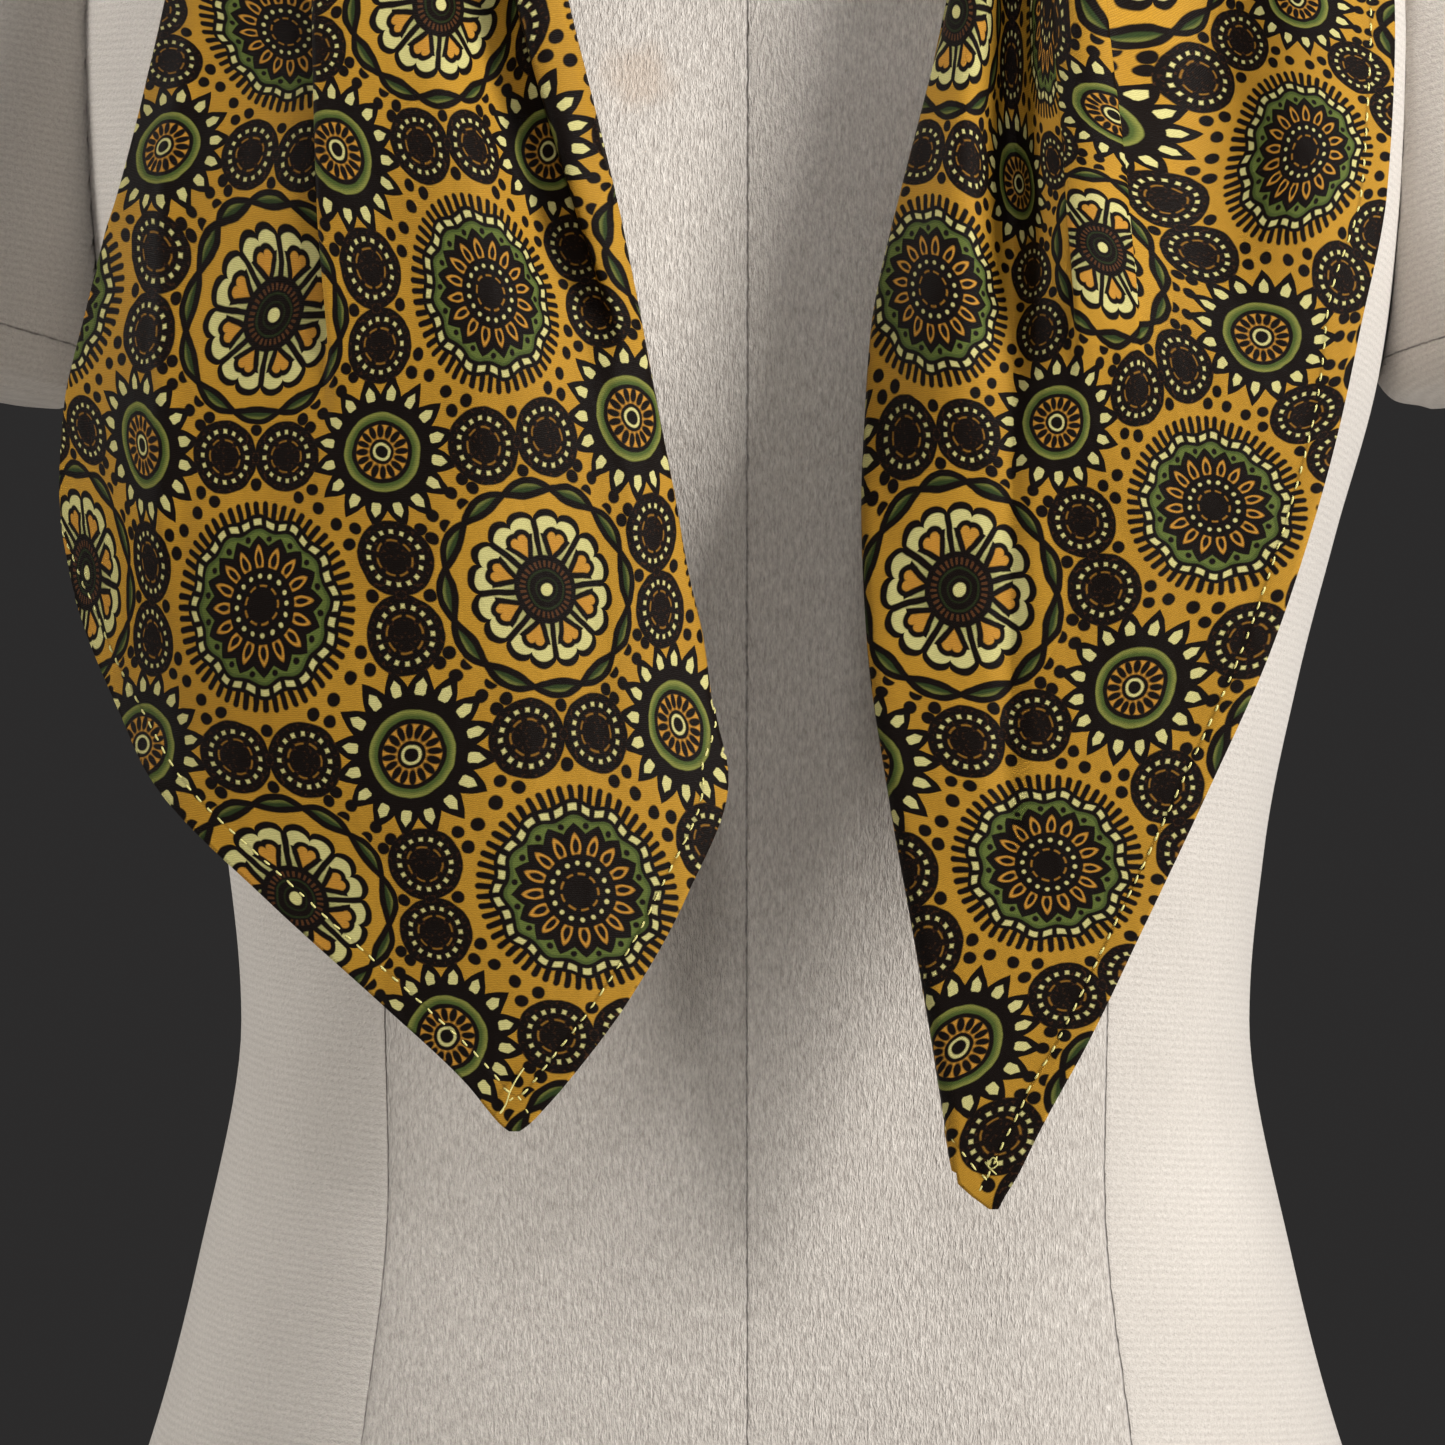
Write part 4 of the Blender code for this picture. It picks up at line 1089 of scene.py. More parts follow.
def make_arm(name, node, side):
    """Rings round a straight axis: radius times (cos, sin), pressed against the body."""
    top = np.array(ARM_TOP) * (side, 1, 1)
    axis = unit(np.array(ARM_END) * (side, 1, 1) - top)
    forward = np.array([0.0, -1.0, 0.0])
    forward = unit(forward - axis * forward.dot(axis))
    sideways = np.cross(axis, forward)
    row = np.linspace(0, len(ARM) - 1, ARM_ROWS)
    along, radius = (column(ARM, label, row, "row") for label in ("along", "radius"))
    radius = radius - ARM_GROOVE_DEPTH * np.exp(-((along - ARM_END_SEAM) / ARM_GROOVE_WIDTH) ** 2)
    rounding = np.radians(ARM_ROUNDING_DEGREES)
    along = np.concatenate([along, along[-1] + ARM_ROUNDING * np.sin(rounding)])
    radius = np.concatenate([radius, radius[-1] * np.cos(rounding)])
    angle = np.linspace(0, 2 * np.pi, ARM_AROUND)[::-1]
    round_it = np.cos(angle)[:, None] * forward + np.sin(angle)[:, None] * sideways
    rings = top + axis * along[:, None, None] + round_it * radius[:, None, None]
    rings = held_outside_body(rings, side)[::-1]
    cloth = np.stack(np.broadcast_arrays(angle * ARM_MAP_RADIUS, -along[::-1, None]), axis=-1)
    seams = np.stack(np.broadcast_arrays(along[::-1, None] - ARM_END_SEAM, 0 * angle - 1.0), axis=-1)
    piece = closed_rings(name, rings, {"cloth": cloth, "seams": seams}, rings[0].mean(axis=0),
                         rings[-1].mean(axis=0), arm_cover)
    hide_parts(node)


for side, label in ((-1, "left"), (1, "right")):
    make_arm("form_stub_" + label, "form_arm_" + label, side)

# %% [markdown]
# ## The two hanging ends
#
# Worn cloth keeps one thickness and hardly stretches, so it can only bend one way at a time. Each level of an
# end is therefore drawn as a path seen from above: it starts at the hidden edge behind, comes round the bend
# at one side, crosses the front with its pleats and waves, and goes round the other bend. The levels are
# stacked along a spine that follows the bust and the shoulder, and the whole is lifted clear of the form.
# Cloth simulation could drape a square too, but it would find folds of its own and not the ones that show.

# %% Tables of the ends
FOLD_RADIUS = 0.0030
RETURN_SPREAD = 0.002
SPREAD_RUN = 0.020
PLEAT_RADIUS = 0.0008
CLOTH_TO_FORM = 0.0020
SAMPLES = 600
Spine = namedtuple("Spine", "y z drop")
SPINE = (
    Spine(-0.1380, 0.216, 0.0),
    Spine(-0.1410, 0.270, 0.0),
    Spine(-0.1460, 0.340, 0.0),
    Spine(-0.1490, 0.400, 0.0),
    Spine(-0.1485, 0.430, 0.0),
    Spine(-0.1430, 0.465, 0.0),
    Spine(-0.1330, 0.500, 0.0),
    Spine(-0.1170, 0.540, 0.05),
    Spine(-0.0960, 0.580, 0.14),
    Spine(-0.0740, 0.610, 0.26),
    Spine(-0.0480, 0.632, 0.36),
    Spine(-0.0240, 0.642, 0.42),
    Spine(0.0000, 0.646, 0.44),
)

# The front outline of each end, level by level. left and right are its edges as seen from the front, the
# returns are how far the cloth runs on behind after each edge, and the turns are how far the cloth beside
# each edge has curved back from the front.
Level = namedtuple("Level", "z left right left_return right_return left_turn right_turn")
OPEN_CORNER = (
    Level(0.2332, -0.0514, -0.0494, 0.000, 0.000, 0.000, 0.000),
    Level(0.2345, -0.0530, -0.0476, 0.000, 0.000, 0.000, 0.000),
    Level(0.2380, -0.0560, -0.0442, 0.000, 0.000, 0.000, 0.000),
    Level(0.2430, -0.0600, -0.0398, 0.000, 0.000, 0.000, 0.000),
    Level(0.2605, -0.0785, -0.0265, 0.000, 0.000, 0.000, 0.002),
    Level(0.2830, -0.1035, -0.0137, 0.000, 0.000, 0.002, 0.006),
    Level(0.3075, -0.1285, -0.0046, 0.000, 0.000, 0.010, 0.012),
    Level(0.3210, -0.1360, -0.0064, 0.000, 0.008, 0.018, 0.014),
    Level(0.3380, -0.1442, -0.0086, 0.000, 0.020, 0.028, 0.015),
    Level(0.3530, -0.1492, -0.0118, 0.004, 0.030, 0.034, 0.015),
    Level(0.3700, -0.1525, -0.0146, 0.012, 0.036, 0.038, 0.015),
    Level(0.3890, -0.1512, -0.0183, 0.020, 0.038, 0.036, 0.014),
    Level(0.4140, -0.1453, -0.0236, 0.026, 0.036, 0.030, 0.011),
    Level(0.4420, -0.1377, -0.0296, 0.028, 0.034, 0.022, 0.008),
    Level(0.4800, -0.1284, -0.0389, 0.026, 0.030, 0.013, 0.005),
    Level(0.5200, -0.1215, -0.0470, 0.024, 0.028, 0.008, 0.003),
    Level(0.5650, -0.1180, -0.0550, 0.020, 0.024, 0.003, 0.001),
    Level(0.6100, -0.1170, -0.0590, 0.018, 0.022, 0.000, 0.000),
    Level(0.6460, -0.1160, -0.0580, 0.018, 0.022, 0.000, 0.000),
)
FOLDED_CORNER = (
    Level(0.2163, 0.0524, 0.0540, 0.000, 0.000, 0.000, 0.000),
    Level(0.2188, 0.0490, 0.0552, 0.000, 0.000, 0.000, 0.000),
    Level(0.2230, 0.0450, 0.0578, 0.002, 0.000, 0.000, 0.000),
    Level(0.2300, 0.0436, 0.0612, 0.008, 0.000, 0.000, 0.000),
    Level(0.2376, 0.0423, 0.0651, 0.015, 0.000, 0.000, 0.000),
    Level(0.2520, 0.0397, 0.0730, 0.025, 0.000, 0.001, 0.000),
    Level(0.2750, 0.0356, 0.0841, 0.038, 0.000, 0.002, 0.001),
    Level(0.3060, 0.0300, 0.0987, 0.056, 0.000, 0.003, 0.002),
    Level(0.3380, 0.0254, 0.1128, 0.070, 0.000, 0.005, 0.003),
    Level(0.3685, 0.0239, 0.1227, 0.074, 0.000, 0.008, 0.004),
    Level(0.3870, 0.0245, 0.1275, 0.074, 0.000, 0.011, 0.005),
    Level(0.4050, 0.0256, 0.1313, 0.071, 0.000, 0.013, 0.006),
    Level(0.4356, 0.0318, 0.1374, 0.064, 0.000, 0.013, 0.007),
    Level(0.4804, 0.0433, 0.1400, 0.054, 0.000, 0.009, 0.007),
    Level(0.5200, 0.0520, 0.1350, 0.042, 0.010, 0.005, 0.005),
    Level(0.5650, 0.0570, 0.1250, 0.030, 0.020, 0.002, 0.002),
    Level(0.6100, 0.0585, 0.1180, 0.024, 0.018, 0.000, 0.000),
    Level(0.6460, 0.0580, 0.1160, 0.022, 0.018, 0.000, 0.000),
)
TURN_WIDTH = 0.046

# The folds that run down each end, from left to right: where each begins and ends, how far the front stands
# out there (or, if negative, sinks), its half width, how far a pleat tucks under the cloth beside it (a
# positive tuck puts the right-hand side on top), the columns of cloth between it and the last fold that has
# any, and where it runs at each of the fold levels. A fold with no columns is a soft wave.
FOLD_LEVELS = (0.30, 0.36, 0.40, 0.43, 0.48, 0.56, 0.64)
Fold = namedtuple("Fold", "name top foot depth half_width tuck columns at_levels")
OPEN_FOLDS = (
    Fold("outer_crease", 0.50, 0.310, 0.0026, 0.0028, 0.0, 4,
         (-0.1130, -0.1270, -0.1280, -0.1275, -0.1205, -0.1115, -0.1085)),
    Fold("outer_trough", 0.50, 0.320, -0.0028, 0.0090, 0.0, 0,
         (-0.1060, -0.1080, -0.1090, -0.1095, -0.1060, -0.1020, -0.1010)),
    Fold("main_pleat", 0.70, 0.380, 0.0, 0.0, 0.008, 5,
         (-0.0860, -0.0880, -0.0896, -0.0920, -0.0938, -0.0950, -0.0960)),
    Fold("shoulder_gather", 0.70, 0.500, -0.0040, 0.0050, 0.0, 0,
         (-0.0700, -0.0700, -0.0700, -0.0720, -0.0760, -0.0830, -0.0850)),
    Fold("middle_swell", 0.43, 0.235, 0.0028, 0.0160, 0.0, 0,
         (-0.0620, -0.0660, -0.0700, -0.0740, -0.0780, -0.0780, -0.0780)),
    Fold("inner_valley", 0.66, 0.370, -0.0090, 0.0055, 0.0, 0,
         (-0.0340, -0.0340, -0.0360, -0.0445, -0.0585, -0.0735, -0.0780)),
    Fold("inner_pleat", 0.70, 0.395, 0.0, 0.0, 0.003, 7,
         (-0.0240, -0.0235, -0.0275, -0.0365, -0.0505, -0.0655, -0.0700)),
    Fold("inner_ridge", 0.43, 0.300, 0.0030, 0.0050, 0.0, 0,
         (-0.0245, -0.0222, -0.0240, -0.0300, -0.0400, -0.0500, -0.0600)),
)
OPEN_LAST_COLUMNS = 4
FOLDED_FOLDS = (
    Fold("left_swell", 0.56, 0.340, 0.0030, 0.0080, 0.0, 0,
         (0.0400, 0.0400, 0.0410, 0.0430, 0.0480, 0.0560, 0.0600)),
    Fold("deep_valley", 0.66, 0.375, -0.0135, 0.0048, 0.0, 4,
         (0.0563, 0.0563, 0.0566, 0.0572, 0.0585, 0.0625, 0.0650)),
    Fold("long_crease", 0.43, 0.270, -0.0016, 0.0022, 0.0, 0,
         (0.0563, 0.0563, 0.0566, 0.0572, 0.0585, 0.0625, 0.0650)),
    Fold("over_pleat", 0.70, 0.385, 0.0, 0.0, 0.003, 3,
         (0.0690, 0.0700, 0.0700, 0.0680, 0.0655, 0.0705, 0.0730)),
    Fold("pinched_pleat", 0.52, 0.385, 0.0, 0.0, -0.002, 2,
         (0.0800, 0.0830, 0.0836, 0.0812, 0.0765, 0.0825, 0.0870)),
    Fold("low_ridge", 0.41, 0.320, 0.0022, 0.0070, 0.0, 0,
         (0.0800, 0.0820, 0.0830, 0.0830, 0.0830, 0.0830, 0.0860)),
    Fold("soft_trough", 0.56, 0.390, -0.0060, 0.0090, 0.0, 0,
         (0.1000, 0.1020, 0.1040, 0.1030, 0.1010, 0.0990, 0.0980)),
    Fold("outer_swell", 0.54, 0.390, 0.0028, 0.0110, 0.0, 0,
         (0.1120, 0.1140, 0.1180, 0.1200, 0.1200, 0.1140, 0.1080)),
)
FOLDED_LAST_COLUMNS = 8
WAVE_FADE = 0.060
PLEAT_FADE = 0.090
PLEAT_SETTLE = 0.028
FLAT_ARC = 0.0015
FLAT_LEG = 0.0008
FLAT_ARC_SHARE = 0.04
FLAT_LEG_SHARE = 0.02
EDGE_FADE = 0.012
UNDER_REACH = 0.012
UNDER_FADE = 0.009
ARC_COLUMNS = 6
LEG_COLUMNS = 3
RETURN_COLUMNS = 12
LONG_RETURN_COLUMNS = 28
LONG_RETURN = 0.05
COLUMNS_EACH = 4
SHORT_RETURN = 0.002
BEND_SHARE = 0.28
ROW_ZONES = ((0.240, 9), (0.385, 98), (0.500, 80), (1.000, 78))


# %% Paths across one level
def spine_at(heights):
    """The spine's y, outward direction and drop at each height."""
    fine = np.linspace(0, len(SPINE) - 1, SAMPLES)
    y, z, drop = (column(SPINE, name, fine, "row") for name in ("y", "z", "drop"))
    slope = np.interp(heights, z, np.gradient(y, z))
    size = np.hypot(slope, 1.0)
    outward = np.stack([0 * size, -1.0 / size, slope / size], axis=-1)
    return np.interp(heights, z, y), outward, np.interp(heights, z, drop)


def run_along(x, y):
    """How far along a path each of its points lies."""
    return lengths_along(np.stack([x, y], axis=-1))


def row_heights(lowest, highest):
    """Heights of an end's rows, evenly spaced along the spine in each zone."""
    fine = np.linspace(lowest, highest, SAMPLES)
    run = run_along(spine_at(fine)[0], fine)
    ends = np.interp([min(top, highest) for top, rows in ROW_ZONES], fine, run)
    starts = np.concatenate([[0.0], ends[:-1]])
    steps = [np.linspace(a, b, rows + 1)[1:] for a, b, (top, rows) in zip(starts, ends, ROW_ZONES)]
    return np.interp(np.concatenate([[0.0], *steps]), run, fine)


def edges_at(levels, z):
    """The left and right edges of an end at one height."""
    return column(levels, "left", z), column(levels, "right", z)


def fold_place(fold, levels, z):
    """Where a fold runs at one level; below the lowest fold level it keeps its share of the width."""
    known = max(z, FOLD_LEVELS[0])
    left, right = edges_at(levels, known)
    share = (smooth_curve(FOLD_LEVELS, fold.at_levels, known) - left) / (right - left)
    left, right = edges_at(levels, z)
    return left + share * (right - left)


def wave_height(levels, folds, z, x):
    """The waves and creases of the front: a bell across each, which fades out at both of its ends."""
    left, right = edges_at(levels, z)
    out = np.zeros_like(x)
    for fold in folds:
        if fold.tuck == 0:
            strength = smooth_step((z - fold.foot) / WAVE_FADE) * smooth_step((fold.top - z) / WAVE_FADE)
            beside = (x - fold_place(fold, levels, z)) / fold.half_width
            out += strength * fold.depth * np.exp(-0.5 * beside**2)
    return out * smooth_step((x - left) / EDGE_FADE) * smooth_step((right - x) / EDGE_FADE)


def turn_back(levels, z, x):
    """How far the cloth beside the edges of one level has curved back: a parabola from each edge."""
    left, right = edges_at(levels, z)
    reach = min(TURN_WIDTH, (right - left) / 2)
    near_left = np.clip(1 - (x - left) / reach, 0, 1)
    near_right = np.clip(1 - (right - x) / reach, 0, 1)
    return column(levels, "left_turn", z) * near_left**2 + column(levels, "right_turn", z) * near_right**2


def pleat_steps(fold, z, width):
    """A knife pleat from above: the cloth turns back on itself round two small bends with a leg between.

    Towards the pleat's foot the leg shrinks to nothing, and then the two bends open until the cloth is flat.
    """
    strength = np.clip((z - fold.foot) / PLEAT_FADE, 0, 1) * np.clip((fold.top - z) / PLEAT_FADE, 0, 1)
    turn = max(np.pi * smooth_step(2 * strength), 1e-6)
    arc = max(PLEAT_RADIUS * turn, min(FLAT_ARC, FLAT_ARC_SHARE * width))
    leg = max(abs(fold.tuck) * smooth_step(2 * strength - 1), min(FLAT_LEG, FLAT_LEG_SHARE * width))
    part_turn = turn * (np.arange(ARC_COLUMNS) + 0.5) / ARC_COLUMNS
    heading = np.concatenate([part_turn, np.full(LEG_COLUMNS, turn), part_turn[::-1]])
    bend = np.full(ARC_COLUMNS, arc / ARC_COLUMNS)
    lengths = np.concatenate([bend, np.full(LEG_COLUMNS, leg / LEG_COLUMNS), bend])
    beyond = arc / turn * np.sin(min(turn, np.pi / 2))
    return np.cumsum(lengths * np.cos(heading)), np.cumsum(lengths * np.sin(heading)), beyond, leg


def front_path(levels, folds, last_columns, z, x_start, x_end):
    """Points across the front of one level, pleats and all, from its left edge to its right one."""
    width = x_end - x_start
    x, out, steps = [np.array([x_start])], [np.zeros(1)], []
    count, here = 1, x_start
    for fold in (fold for fold in folds if fold.columns):
        edge = fold_place(fold, levels, z)
        target = edge
        if fold.tuck:
            step_x, step_out, beyond, leg = pleat_steps(fold, z, width)
            target = edge + beyond - step_x[-1] if fold.tuck > 0 else edge - beyond
        number = fold.columns * COLUMNS_EACH
        x.append(np.linspace(here, target, number + 1)[1:])
        out.append(np.zeros(number))
        count += number
        here = target
        if fold.tuck:
            top = step_out[-1]
            x.append(here + step_x)
            out.append(step_out if fold.tuck > 0 else top - step_out)
            steps.append((fold.tuck > 0, edge, top, leg, count, count + len(step_x)))
            count += len(step_x)
            here += step_x[-1]
    x.append(np.linspace(here, x_end, last_columns * COLUMNS_EACH + 1)[1:])
    out.append(np.zeros(last_columns * COLUMNS_EACH))
    x, out = np.concatenate(x), np.concatenate(out)
    order = np.arange(len(x))
    for right_on_top, edge, top, leg, begin, end in steps:
        on_top = order >= end if right_on_top else order < begin
        hold = leg + 3 * PLEAT_RADIUS
        out += on_top * top * (1 - smooth_step((np.abs(x - edge) - hold) / PLEAT_SETTLE))
    return x, out


def lower_side(x, out):
    """A smooth curve under the waves of a front, which meets it at both edges."""
    reach = int(np.ceil(UNDER_REACH / (x[-1] - x[0]) * len(x)))
    windows = np.lib.stride_tricks.sliding_window_view(np.pad(out, reach, mode="edge"), 2 * reach + 1)
    lowest = np.pad(windows.min(axis=1), reach, mode="edge")
    smooth = np.lib.stride_tricks.sliding_window_view(lowest, 2 * reach + 1).mean(axis=1)
    inside = smooth_step((x - x[0]) / UNDER_FADE) * smooth_step((x[-1] - x) / UNDER_FADE)
    return out + (np.minimum(smooth, out) - out) * inside


def bend_radius(length):
    """The radius of the bend at an edge whose return has this length."""
    return min(FOLD_RADIUS, length * BEND_SHARE)


def return_path(under_x, under_out, edge_out, length, columns):
    """The cloth that runs on behind an edge, two bend radii behind the front, or nothing at a hem."""
    if length < SHORT_RETURN:
        return np.full((ARC_COLUMNS + columns, 2), np.nan)
    radius = bend_radius(length)
    run = run_along(under_x, under_out)
    slope = unit(np.stack([np.gradient(under_x), np.gradient(under_out)], axis=1))
    behind = np.stack([slope[:, 1], -slope[:, 0]], axis=1) * np.sign(under_x[1] - under_x[0])
    apart = 2 * radius + RETURN_SPREAD * smooth_step(run / SPREAD_RUN)
    offset = np.stack([under_x, under_out], axis=1) + behind * apart[:, None]
    turn = np.pi * np.arange(1, ARC_COLUMNS + 1) / ARC_COLUMNS
    start = np.array([under_x[0], edge_out])
    middle = (start + offset[0]) / 2
    bend = middle + (start - middle) * np.cos(turn)[:, None] - slope[0] * radius * np.sin(turn)[:, None]
    along = (length - np.pi * radius) * np.arange(1, columns + 1) / columns
    return np.concatenate([bend, points_at(along, run, offset)])


def level_path(levels, folds, last_columns, z):
    """One level as seen from above: places across it, and how far each lies out from the spine."""
    left, right = (float(edge) for edge in edges_at(levels, z))
    edges = []
    for side in ("left", "right"):
        length = float(column(levels, side + "_return", z))
        steep = 2 * float(column(levels, side + "_turn", z)) / min(TURN_WIDTH, (right - left) / 2)
        inset = bend_radius(length) / np.hypot(1, steep) if length >= SHORT_RETURN else 0.0
        longest = max(getattr(level, side + "_return") for level in levels)
        edges.append((length, inset, LONG_RETURN_COLUMNS if longest > LONG_RETURN else RETURN_COLUMNS))
    (left_length, left_inset, left_columns), (right_length, right_inset, right_columns) = edges
    x_start, x_end = left + left_inset, right - right_inset
    x, rise = front_path(levels, folds, last_columns, z, x_start, x_end)
    out = rise + wave_height(levels, folds, z, x) - turn_back(levels, z, x)
    under_x = np.linspace(x_start, x_end, SAMPLES // 2)
    under_out = lower_side(under_x, wave_height(levels, folds, z, under_x)) - turn_back(levels, z, under_x)
    before = return_path(under_x, under_out, out[0], left_length, left_columns)
    after = return_path(under_x[::-1], under_out[::-1], out[-1], right_length, right_columns)
    return np.concatenate([before[::-1], np.stack([x, out], axis=1), after])


# %% Laying the levels over the form
LIFT_PLACES = 41
LIFT_REACH = 0.006
LIFT_SHARE = 0.05
LIFT_SMOOTHING = (25, 5)
RAY_START = 0.3

form_tree = BVHTree.FromPolygons([v.co for v in body.data.vertices], [p.vertices for p in body.data.polygons])


def lift_off_form(x, out, base, outward):
    """How far each point moves outwards so that every layer at its place clears the form.

    Rays are sent inwards at even places across each row, and what they need is smoothed over rows and places.
    """
    shares = np.linspace(0, 1, LIFT_PLACES)
    leftmost = np.nanmin(x, axis=1)
    spread = np.nanmax(x, axis=1) - leftmost
    need = np.zeros((len(x), len(shares)))
    for row, row_x in enumerate(x):
        real = np.flatnonzero(np.isfinite(row_x))
        order = real[np.argsort(row_x[real])]
        places = leftmost[row] + shares * spread[row]
        points = points_at(places, row_x[order], base[row, order])
        near = np.abs(row_x[None, :] - places[:, None]) < LIFT_REACH + spread[row] * LIFT_SHARE
        lowest = np.min(np.broadcast_to(out[row], near.shape), where=near, initial=np.inf, axis=1)
        starts = points + outward[row] * RAY_START
        inwards = Vector(-outward[row])
        hits = [form_tree.ray_cast(start, inwards, 2 * RAY_START)[3] for start in starts.tolist()]
        depths = np.array([np.inf if hit is None else hit for hit in hits])
        need[row] = np.maximum(0.0, RAY_START - depths + CLOTH_TO_FORM - lowest)
    rows, places = (size // 2 for size in LIFT_SMOOTHING)
    for combine in (np.max, np.mean):
        padded = np.pad(need, ((rows, rows), (places, places)), mode="edge")
        need = combine(np.lib.stride_tricks.sliding_window_view(padded, LIFT_SMOOTHING), axis=(2, 3))
    at = np.nan_to_num((x - leftmost[:, None]) / spread[:, None])
    return each_row(np.broadcast_to(shares, need.shape), need, at)


Laid = namedtuple("Laid", "heights x grid across run")


def lay_end(levels, folds, last_columns):
    """The middle surface of one hanging end, row by row from its tip to the shoulder.

    across is the length of cloth from the row's first point, and run the length of the spine from the tip.
    """
    heights = row_heights(levels[0].z, levels[-1].z)
    spine_y, outward, drop = spine_at(heights)
    inner = min(abs(levels[-1].left), abs(levels[-1].right))
    side = np.sign(levels[-1].left)
    paths = np.array([level_path(levels, folds, last_columns, z) for z in heights])
    x, out = paths[..., 0], paths[..., 1]
    y = np.broadcast_to(spine_y[:, None], x.shape)
    z = heights[:, None] - drop[:, None] * (side * x - inner)
    base = np.stack([x, y, z], axis=-1)
    lift = lift_off_form(x, out, base, outward)
    grid = base + (out + lift)[..., None] * outward[:, None, :]
    grid[-1, :, 1] = 0.0
    return Laid(heights, x, grid, lengths_along(grid), run_along(spine_y, heights))


open_laid = lay_end(OPEN_CORNER, OPEN_FOLDS, OPEN_LAST_COLUMNS)
folded_laid = lay_end(FOLDED_CORNER, FOLDED_FOLDS, FOLDED_LAST_COLUMNS)
print("ends laid in", open_laid.grid.shape, folded_laid.grid.shape)

# %% [markdown]
# ## Where the print lies on the cloth
#
# Cloth was printed flat and draped afterwards, so the print follows lengths along the cloth and not lengths
# in the air. The first guess measures across each row and up the spine, and turns the result by the angle
# between the repeat and the hanging end. Real folds hide a little more or less cloth than these do. So some
# motifs are named by where they show, the point of cloth that the camera sees there is found, and a smooth
# correction is solved that carries each of them to its own place in the repeat and spreads the rest between.

# %% Motifs that fix the print
Motif = namedtuple("Motif", "px py u v")
OPEN_MOTIFS = (
    Motif(545, 590, 19.5, 114.8), Motif(580, 895, 19.5, 48.8), Motif(292, 897, -46.5, 48.8),
    Motif(265, 605, -46.5, 114.8), Motif(275, 312, -46.5, 180.8), Motif(490, 290, 19.5, 180.8),
    Motif(415, 755, -13.5, 81.8), Motif(385, 450, -13.5, 147.8), Motif(140, 447, -79.5, 147.8),
    Motif(160, 148, -79.5, 213.8), Motif(340, 150, -13.5, 213.8), Motif(548, 150, 52.5, 213.8),
    Motif(635, 415, 52.5, 147.8), Motif(678, 727, 52.5, 81.8), Motif(443, 1035, -13.5, 15.8),
    Motif(140, 740, -79.5, 81.8), Motif(285, 30, -46.5, 246.8), Motif(440, 5, 19.5, 246.8),
    Motif(85, 575, -112.5, 114.8),
    Motif(172, 611, -69.5, 114.8), Motif(361, 600, -23.5, 114.8),
    Motif(528, 736, 11.2, 81.8), Motif(595, 736, 27.8, 81.8),
    Motif(656, 531, 52.5, 123.1), Motif(664, 609, 52.5, 106.5),
)
FOLDED_MOTIFS = (
    Motif(1051, 866, 38.7, 64.2), Motif(957, 594, 38.7, 130.2), Motif(1137, 685, 71.7, 97.2),
    Motif(900, 770, 14.4, 93.8), Motif(1215, 505, 104.7, 130.2), Motif(1058, 428, 71.7, 163.2),
    Motif(1104, 239, 104.7, 196.2), Motif(932, 287, 38.7, 196.2), Motif(1260, 341, 137.7, 163.2),
    Motif(1307, 154, 170.7, 196.2), Motif(956, 10, 38.7, 262.2), Motif(955, 1048, 5.7, 31.2),
    Motif(1023, 186, 71.7, 229.2), Motif(1109, 116, 137.7, 229.2), Motif(1289, 1, 203.7, 229.2),
    Motif(1170, 201, 137.7, 204.5), Motif(1205, 254, 137.7, 187.9), Motif(1248, 32, 179.0, 229.2),
    Motif(1200, 80, 162.4, 229.2), Motif(1354, 63, 203.7, 204.5), Motif(1343, 278, 162.4, 163.2),
    Motif(1308, 412, 137.7, 138.5), Motif(1136, 388, 96.4, 163.2), Motif(1186, 371, 113.0, 163.2),
    Motif(1030, 274, 71.7, 204.5), Motif(1039, 334, 71.7, 187.9), Motif(907, 442, 30.4, 163.2),
    Motif(968, 433, 47.0, 163.2), Motif(918, 157, 30.4, 229.2), Motif(966, 149, 47.0, 229.2),
    Motif(1081, 520, 71.7, 138.5), Motif(1001, 1140, 5.7, 6.5), Motif(1070, 998, 30.4, 31.2),
    Motif(902, 874, 5.7, 72.5), Motif(927, 946, 5.7, 55.9), Motif(966, 745, 30.4, 97.2),
    Motif(1035, 730, 47.0, 97.2),
)
MOTIF_NEAR = 5.0
REACH_OF_FIX = 0.045
STIFFNESS = 0.01
HEM_WIDTH = 0.0055
HEM_SMOOTHING = 6

Cloth = namedtuple("Cloth", "tip_x lean_degrees flower_u flower_v reference levels folds motifs")
OPEN_CLOTH = Cloth(-0.0500, 6.0, 19.5, 114.8, "middle_swell", OPEN_CORNER, OPEN_FOLDS, OPEN_MOTIFS)
FOLDED_CLOTH = Cloth(0.0532, 19.0, 38.7, 130.2, "deep_valley", FOLDED_CORNER, FOLDED_FOLDS, FOLDED_MOTIFS)


def bells(places, centres):
    """exp(-(distance/reach)^2) between every place and every centre."""
    apart = np.linalg.norm(places[:, None, :] - centres[None, :, :], axis=2)
    return np.exp(-(apart / REACH_OF_FIX) ** 2)


